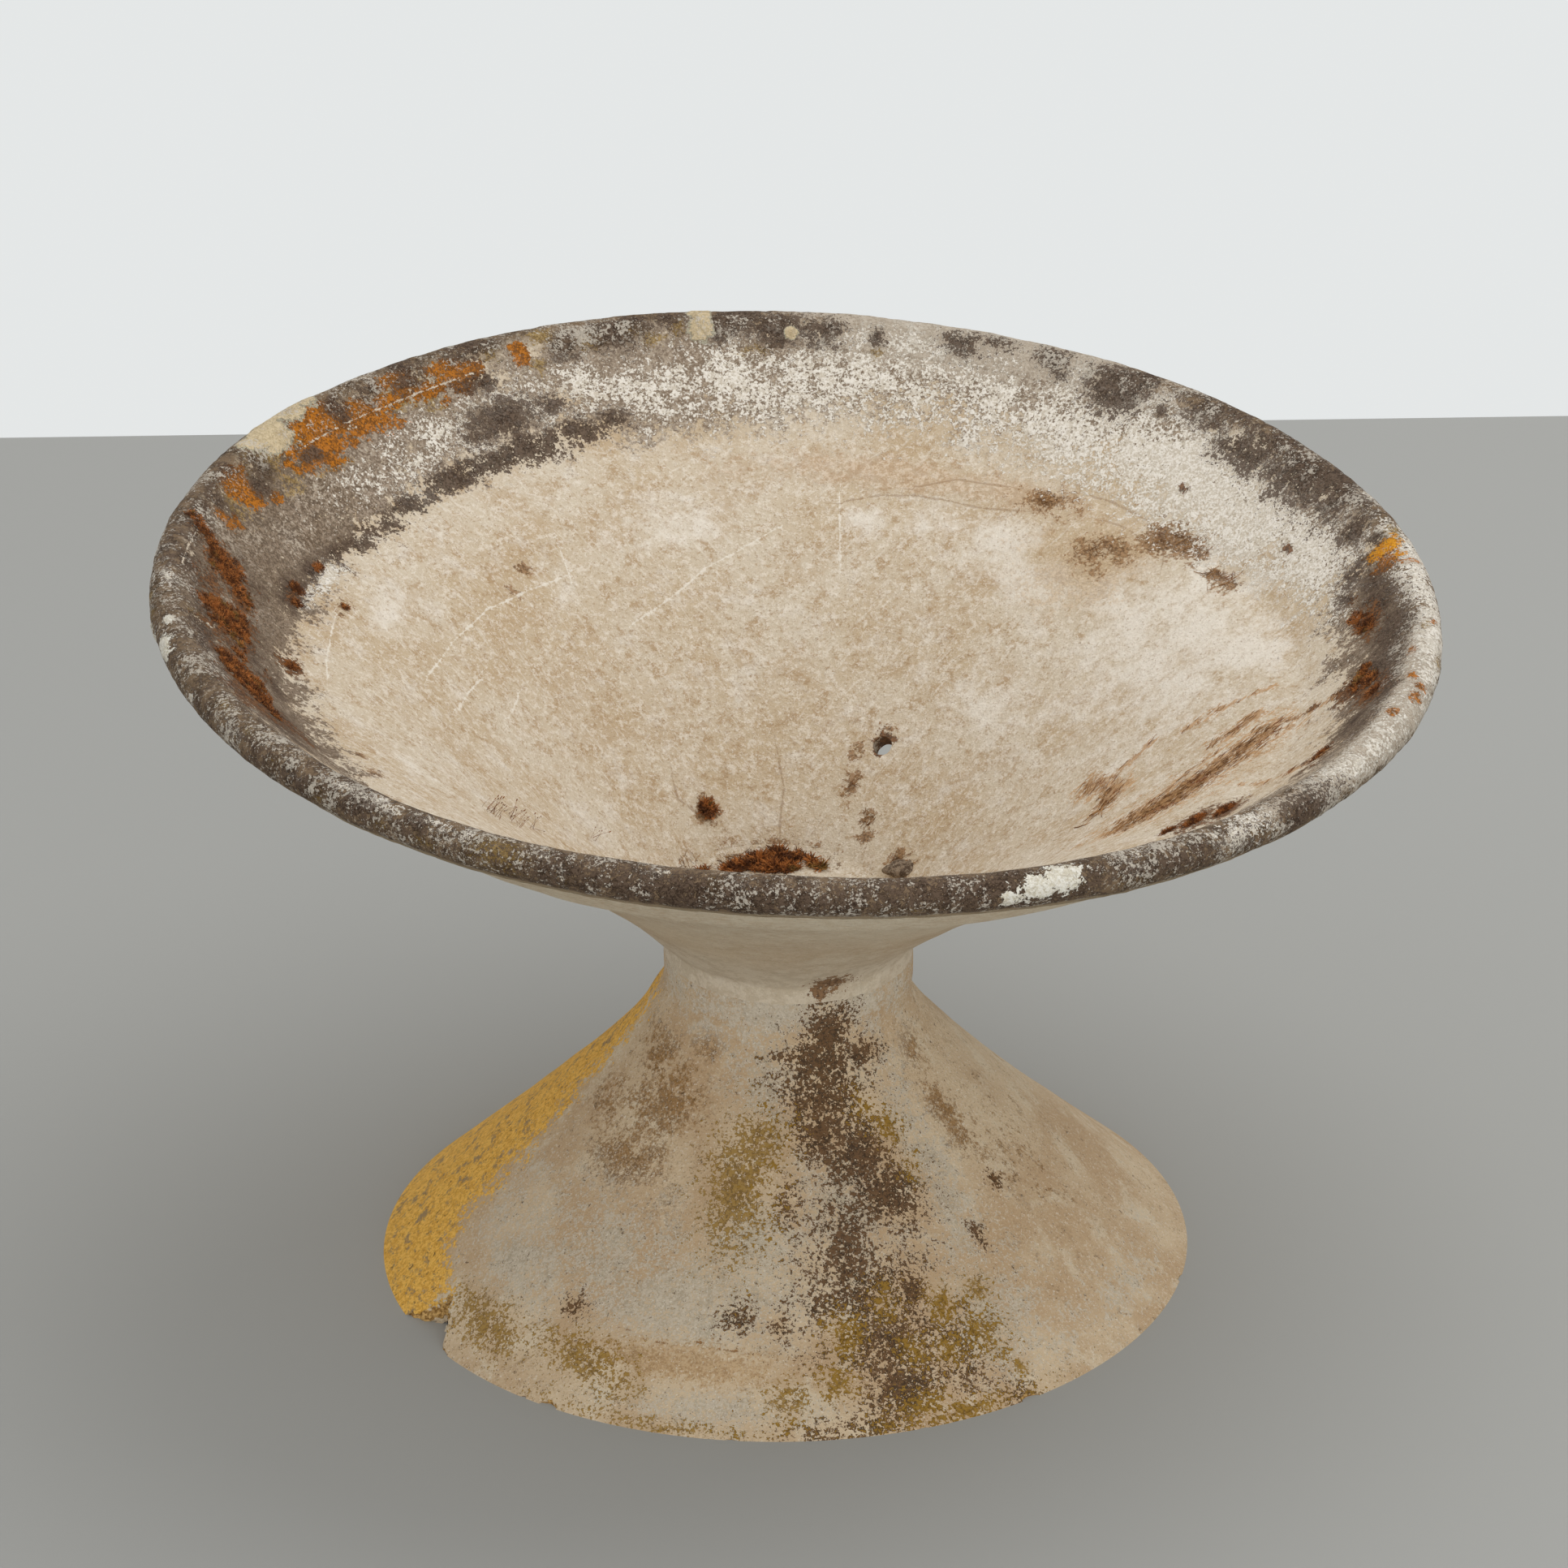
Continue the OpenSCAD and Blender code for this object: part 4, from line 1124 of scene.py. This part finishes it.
# ---------------------------------------------------------------- Throat plug
# A round of mortar that closes the throat and is the floor of the bowl. Soil and
# dead moss have gathered on it.
PLUG_LOW = 17
PLUG_HIGH = 31
plug_top = [p for p in pan_in if PLUG_LOW < p[1] < PLUG_HIGH]
plug_r, plug_z = plug_top[-1]
dish = [(plug_r - 4, plug_z - 3), (plug_r - 11, plug_z - 5.5), (plug_r - 22, plug_z - 6.5),
        (0, plug_z - 6.5)]
plug_section = finely([(0, PLUG_LOW), plug_top[0]], step=6) + plug_top[1:]
plug_section += finely([plug_top[-1]] + dish, step=2.5)[1:]
plug = turned("plug", plug_section, steps=180, shut=False)
middle = np.clip((plug_r - np.hypot(*points_of(plug)[:, :2].T)) / 14, 0, 1)
set_down(plug, BOWL_PLACE, LEAN)
swell(plug, 16, 2.2, middle)
nudge_neck(plug)
bpy.ops.object.shade_smooth_by_angle(angle=math.radians(60))
c = Coats("earthy_mortar")
for stained in ("warm", "bleach", "peach"):
    stain(plug, stained, np.full(len(plug.data.vertices), CLEAN))
stain(plug, "ledge", np.full(len(plug.data.vertices), -LEDGE_SEEN))
bare_cement(c)
c.tint((112, 84, 56), c.grain(6, 0.85, at=3), 0.58, 0.66, 0.8)
coarsely(c, 1.2)
plug.data.materials.append(c.done())
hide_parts("throat_plug")
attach(plug, "root")


# ---------------------------------------------------------------- Rim
# A strip of the same sheet folded over the band's edge: a thick round lip outside,
# a thin lap down the inside. Grey lichen has roughened it all round.
FOLD = 11.4
LEG = 9


def lift(piece, weights, height):
    """Raises the surface evenly by height, where weights say."""
    bump = piece.modifiers.new("crust", "DISPLACE")
    bump.strength = height * MM
    bump.mid_level = 0
    raised(piece, bump, np.clip(weights, 0, 1))
    settle(piece, bump)


fold = []
for i in range(21):
    angle = BAND + math.pi / 2 - math.pi * i / 20
    thick = RIM_RADIUS + (FOLD - RIM_RADIUS) * min(i / 4, 1)
    fold.append((RIM_CENTRE[0] + thick * math.cos(angle), RIM_CENTRE[1] + thick * math.sin(angle)))
lap = finely([by_band(-LAP, RIM_RADIUS), by_band(0, RIM_RADIUS)], step=2.4)
leg = finely([by_band(0, -FOLD), by_band(-LEG, -FOLD)], step=2.4)
hidden = [by_band(-LEG - 1, -FOLD + 1), by_band(-LEG - 1, -0.2), by_band(0, -0.2), by_band(0, 6),
          by_band(-LAP - 1.6, 6), by_band(-LAP - 1.6, RIM_RADIUS - 1.2)]
rim = turned("rim", lap + fold[1:] + leg[1:] + hidden, steps=1104)
rim_stains = weather(rim)
rim_reach = rim_stains["reach"]
raise_front(rim)
set_down(rim, BOWL_PLACE, LEAN)
lip = ramp(rim_reach, 372, 384) * ramp(rim_reach, 434, 424)
for size, tall in ((150, 3.2), (45, 1.0), (14, 0.3)):
    swell(rim, size, tall)
for size, tall in ((22, 1.3), (8, 0.9)):
    swell(rim, size, tall, lip, middle=0.58)
lift(rim, rim_stains["cream"] * 6, 0.9)
lift(rim, rim_stains["pale"] * 6, 0.7)
# no lump stands out past the box of the solids
cad_low, cad_high = (np.array(v) / MM for v in cad_box)
put_points(rim, np.clip(points_of(rim), cad_low, cad_high))
bpy.ops.object.shade_smooth_by_angle(angle=math.radians(50))

c = Coats("rim_cement")
bare_cement(c)
grimy = c.between(c.plus(c.veil, 60, c.painted("reach")), 394, 412)
c.coat(c.blend((120, 100, 78), (73, 58, 42), c.between(c.mottle, 0.42, 0.58)), grimy)
c.tint((180, 168, 150), c.mixed(c.crumb, 0.6, c.veil), 0.52, 0.58, c.times(grimy, 0.7))
c.tint((54, 41, 31), c.mixed(c.flour, 0.5, c.crumb), 0.53, 0.6, c.times(grimy, 0.75))
crusts(c)
patchy = c.plus(c.veil, 0.35, c.times(c.mottle, 0.3))
patchy = c.plus(c.grain(2.4, 0.85, at=51), 0.4, patchy)
c.tint((198, 189, 174), patchy, 0.55, 0.585, c.times(grimy, 0.78), 0.15)
lower = c.between(c.painted("reach"), 416, 422)
c.coat(c.blend((150, 130, 100), (176, 158, 130), c.flour), c.times(lower, 0.8))
c.line((206, 192, 172), "hairline", -0.1, 0.4, ragged=6, height=0.3)
coarsely(c, 1.5)
rim.data.materials.append(c.done())
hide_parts("rim_strip")
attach(rim, "root")


# ---------------------------------------------------------------- Moss
# Dead moss has dried brown in the crease, on the plug and along the lap. It is made
# of little tufts, and each cushion is one piece that sits on the cement.
LEANING = Matrix.Translation(BOWL_PLACE * MM) @ Matrix.Rotation(LEAN, 4, LEAN_AXIS)
ABOVE_RIM = 320
TURNED_ON = 2.4
graph = bpy.context.evaluated_depsgraph_get()
grounds = [BVHTree.FromObject(piece, graph) for piece in (bowl, rim, plug)]


def ground(turn, reach):
    """The spot of the bowl's inside at a turn and reach, and which way it faces."""
    angle = math.radians(turn)
    start = LEANING @ (Vector((reach * math.cos(angle), reach * math.sin(angle), ABOVE_RIM)) * MM)
    down = -LEANING.to_3x3().col[2]
    hits = [hit for hit in (tree.ray_cast(start, down) for tree in grounds) if hit[0]]
    place, facing, _, _ = min(hits, key=lambda hit: hit[3])
    return place, facing


def strew(name, sprout, spots, number, sizes, seed, swing=180, tip=0.4, sink=0.4, combed=False):
    """Copies a sprout all over ovals of the bowl's inside, and joins the copies.

    They stand closer together and are larger towards the middle of an oval. Each leans by
    about tip, is sunk in a little, and is turned by up to swing from the way round the bowl,
    or from the comb."""
    chance = random.Random(seed)
    areas = [spot[2] * spot[3] for spot in spots]
    copies = []
    while len(copies) < number:
        spot = chance.choices(spots, areas)[0]
        angle, far = chance.uniform(0, 2 * math.pi), chance.random() ** 0.6
        turn = spot[0] + math.degrees(math.cos(angle) * far * spot[2] / spot[1])
        place, facing = ground(turn, spot[1] + math.sin(angle) * far * spot[3])
        up = (facing + tip * Vector([chance.gauss(0, 0.5) for axis in range(3)])).normalized()
        sideways = Vector((-math.sin(math.radians(turn)), math.cos(math.radians(turn)), 0))
        if combed:
            sideways = Vector((math.copysign(COMB[0], place.x), COMB[1], 0))
        sideways.rotate(Matrix.Rotation(math.radians(chance.uniform(-swing, swing)), 3, up))
        sideways = (sideways - up * sideways.dot(up)).normalized()
        basis = Matrix((sideways, up.cross(sideways), up)).transposed()
        size = chance.uniform(*sizes) * (1.15 - 0.5 * far)
        one = sprout.copy()
        one.data = sprout.data.copy()
        bpy.context.scene.collection.objects.link(one)
        one.matrix_world = Matrix.LocRotScale(place - up * sink * MM, basis.to_quaternion(), [size] * 3)
        copies.append(one)
    choose(*copies)
    bpy.ops.object.join()
    bpy.ops.object.transform_apply(location=True, rotation=True, scale=True)
    copies[0].name = copies[0].data.name = name
    return copies[0]


def blade(long, thick, bend, cuts, sides=3):
    """A thin tapered stem that stands upright and bends over, with its length kept as tip."""
    choose()
    bpy.ops.mesh.primitive_cone_add(vertices=sides, radius1=thick * MM, radius2=thick * 0.35 * MM,
                                    depth=long * MM, location=(0, 0, long / 2 * MM))
    stem = bpy.context.object
    bpy.ops.object.transform_apply(location=True, rotation=True, scale=True)
    bpy.ops.object.mode_set(mode="EDIT")
    for i in range(cuts):
        bpy.ops.mesh.select_all(action="SELECT")
        height = long * (i + 1) / (cuts + 1) * MM
        bpy.ops.mesh.bisect(plane_co=(0, 0, height), plane_no=(0, 0, 1))
    bpy.ops.object.mode_set(mode="OBJECT")
    bent = points_of(stem)
    share = bent[:, 2] / long
    stain(stem, "tip", share)
    bent[:, 0] += bend * long * share ** 2
    bent[:, 2] -= abs(bend) * 0.4 * long * share ** 2
    put_points(stem, bent)
    return stem


def tuft(blades):
    """Joins stems into one tuft that spreads from its foot, each turned on from the last."""
    chance = random.Random(len(blades))
    for number, stem in enumerate(blades):
        away = Matrix.Rotation(number * TURNED_ON, 4, "Z")
        lean = Matrix.Rotation(chance.uniform(0.2, 0.9), 4, "Y")
        stem.matrix_world = away @ Matrix.Translation((chance.uniform(0, 1.1) * MM, 0, 0)) @ lean
    choose(*blades)
    bpy.ops.object.join()
    bpy.ops.object.transform_apply(location=True, rotation=True, scale=True)
    return blades[0]


# the stems of one tuft: length and bend
STEMS = ((3.4, 0.5), (2.8, 0.7), (3.8, 0.3), (2.4, 0.6), (3.1, 0.8), (3.6, 0.2), (2.6, 0.4))
moss_tuft = tuft([blade(long, 0.4, bend, cuts=1) for long, bend in STEMS])
moss = Coats("dry_moss", 0.95)
length = moss.painted("tip")
patchy = moss.grain(7, 0.8)
russet = moss.blend((94, 57, 34), (176, 111, 58), moss.between(patchy, 0.42, 0.58))
# each stem is painted darker towards its foot, as painted shade down among the stems of a cushion
moss.coat(moss.blend((56, 38, 25), russet, moss.between(length, 0, 0.7)))
moss.tint((150, 122, 66), moss.grain(14, 0.6, at=5), 0.58, 0.68, 0.6)
moss.rise(moss.times(moss.grain(0.8), 0.2))
moss_coat = moss.done()


def moss_piece(piece):
    """Gives a cushion its coat. It is no CAD node's stand-in, so it only rides and has a finish."""
    piece.data.materials.clear()
    piece.data.materials.append(moss_coat)
    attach(piece, "root")


# where the cushions lie: turn, reach, half length along and half width across
LEFT_MOSS = (
    (169.6, 381, 5, 6), (170.6, 374, 6, 6), (171.6, 366, 6, 6), (173, 360, 7, 7), (174.3, 352, 9, 8),
    (175.8, 345, 9, 7), (177.3, 340, 7, 6), (183.2, 364, 9, 6), (182.5, 357, 12, 8), (183, 350, 14, 9),
    (184.5, 344, 12, 8), (181, 344, 9, 6), (190.5, 347, 7, 5), (193.5, 357, 10, 9), (195.5, 352, 13, 12),
    (198, 349, 14, 12), (200.5, 346, 12, 9), (203, 344, 7, 4), (195, 340, 9, 5), (188, 344, 8, 3),
    (184, 352, 24, 15), (196, 350, 24, 16), (173.5, 357, 18, 14),
)
RIGHT_MOSS = (
    (3, 354, 12, 6), (5, 350, 8, 5), (351, 350, 15, 6), (350, 357, 12, 5), (353.5, 352, 8, 4),
    (346, 362, 10, 4), (334, 352, 10, 4),
)
CREASE_MOSS = (
    (327.5, 308, 11, 4), (324.5, 297, 13, 4.5), (321.5, 288, 8, 3), (183.6, 311, 6, 5),
    (166.5, 320, 6, 5), (169, 316, 5, 4), (160, 318, 6, 3), (164.5, 291, 3, 3),
)
PLUG_MOSS = (
    (92, 70, 8, 6), (82, 70, 5, 4), (103, 67, 8, 6), (114, 63, 7, 6), (122, 60, 6, 6), (74, 66, 4, 4),
    (95, 58, 16, 7), (119.7, 97.5, 4.5, 4.5), (140, 66, 8, 4), (68, 64, 3, 3),
)
moss_piece(strew("moss_left", moss_tuft, LEFT_MOSS, 1900, (0.6, 1.2), seed=3))
moss_piece(strew("moss_right", moss_tuft, RIGHT_MOSS, 420, (0.6, 1.1), seed=4))
moss_piece(strew("moss_crease", moss_tuft, CREASE_MOSS, 420, (0.6, 1.1), seed=5))
moss_piece(strew("moss_plug", moss_tuft, PLUG_MOSS, 620, (0.8, 2.3), seed=6))
bpy.data.objects.remove(moss_tuft)


# ---------------------------------------------------------------- Stalks
# The dry stalks of the moss, each with its spore capsule, have broken off and caught
# on the left of the pan. Each is a bent thread with a drop-shaped end.
# where they lie, and the root mats after them: as the cushions of moss
STALKS = ((204, 202, 11, 5), (201, 184, 11, 5), (198, 168, 8, 4), (177.5, 121, 4, 4))
stalk = blade(13, 0.2, 0.18, cuts=5, sides=5)
choose()
bpy.ops.mesh.primitive_uv_sphere_add(segments=6, ring_count=5, radius=0.42 * MM,
                                     location=(2.4 * MM, 0, 12.4 * MM), scale=(1, 1, 2.2))
choose(stalk, bpy.context.object)
bpy.ops.object.join()
stalks = strew("moss_stalks", stalk, STALKS, 46, (0.6, 1.05), seed=7, tip=0.6)
bpy.data.objects.remove(stalk)
straw = Coats("stalk_straw", 0.8)
straw.coat(straw.blend((96, 58, 34), (152, 104, 64), straw.between(straw.grain(5), 0.4, 0.6)))
straw.rise(straw.times(straw.grain(1), 0.1))
stalks.data.materials.clear()
stalks.data.materials.append(straw.done())
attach(stalks, "root")


# ---------------------------------------------------------------- Root mats
# Thin roots and dead stems have dried flat on the pan. Most were combed round it by
# the rain, and others lie in tangles or curls where the water left them.
def fibre(long, thick, bend=0.12, cuts=4):
    """A blade laid flat along the ground, with a slight arch and a wave in it."""
    strand = blade(long, thick, bend, cuts)
    laid = points_of(strand)
    laid = np.column_stack((laid[:, 2] - long / 2, laid[:, 0] + 0.5 * np.sin(laid[:, 2] * 0.9), laid[:, 1]))
    laid[:, 2] += 0.5 * (1 - (2 * laid[:, 0] / long) ** 2)
    put_points(strand, laid)
    return strand


strand = fibre(12, 0.3)
COMBED = [(math.degrees(math.atan2(y, x)), math.hypot(x, y), wide * strength, 0.8 * wide * strength)
          for wide, strength, line in STROKES for x, y in finely(list(line), step=9)]
TANGLED = (
    (39.5, 310, 12, 7), (37, 313, 12, 7), (34, 314, 8, 5), (29.5, 308, 7, 6), (27, 312, 7, 4),
    (57, 301, 11, 6), (67, 111, 4, 6), (57, 97, 6, 5), (112, 70, 26, 5), (95, 70, 30, 6),
    (45.5, 284, 9, 7), (30, 86, 9, 4), (140, 78, 10, 4),
)
CURLED = ((30, 303, 10, 8), (26, 304, 6, 8), (110, 65, 14, 8), (345, 196, 20, 10))
combed_mat = strew("roots_combed", strand, COMBED, 1100, (0.35, 1.1), seed=8,
                   swing=22, tip=0.15, sink=0, combed=True)
tangled_mat = strew("roots_tangled", strand, TANGLED, 520, (0.35, 1.0), seed=9, tip=0.3, sink=0)
bpy.data.objects.remove(strand)
curl = fibre(30, 0.5, 0.5, 8)
curls = strew("roots_curled", curl, CURLED, 24, (0.5, 1.1), seed=12, tip=0.2, sink=0)
bpy.data.objects.remove(curl)
root = Coats("dry_roots", 0.9)
root.coat(root.blend((108, 73, 42), (174, 135, 92), root.between(root.grain(5, 0.7), 0.4, 0.6)))
root.tint((120, 62, 30), root.grain(20, at=3), 0.56, 0.64, 0.7)
root.rise(root.times(root.grain(0.8), 0.15))
root_coat = root.done()
for mat in (combed_mat, tangled_mat, curls):
    mat.data.materials.clear()
    mat.data.materials.append(root_coat)
    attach(mat, "root")


# ---------------------------------------------------------------- Clod
# A clod of dried earth and dead moss has stuck to the pan beside the plug. It is
# flattened where it dried on, and crumbly all over.
CLOD_AT = (25, 85)
CLOD_SHAPE = (1.6, 0.8, 0.55)
CLOD_SUNK = 2
choose()
bpy.ops.mesh.primitive_uv_sphere_add(segments=48, ring_count=32, radius=10 * MM)
clod = bpy.context.object
clod.name = clod.data.name = "clod"
clod_spot, clod_up = ground(*CLOD_AT)
clod.matrix_world = Matrix.LocRotScale(clod_spot - clod_up * CLOD_SUNK * MM, None, CLOD_SHAPE)
bpy.ops.object.transform_apply(location=True, rotation=True, scale=True)
swell(clod, 9, 5)
swell(clod, 3, 1.5)
bpy.ops.object.shade_smooth_by_angle(angle=math.radians(60))
earth = Coats("dry_earth", 0.95)
crumbs = earth.grain(2, 0.8, at=4)
earth.coat(earth.blend((84, 68, 54), (138, 120, 100), earth.between(earth.grain(5, 0.8), 0.42, 0.58)))
earth.tint((164, 150, 130), crumbs, 0.56, 0.66, 0.6)
earth.rise(crumbs)
clod.data.materials.append(earth.done())
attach(clod, "root")
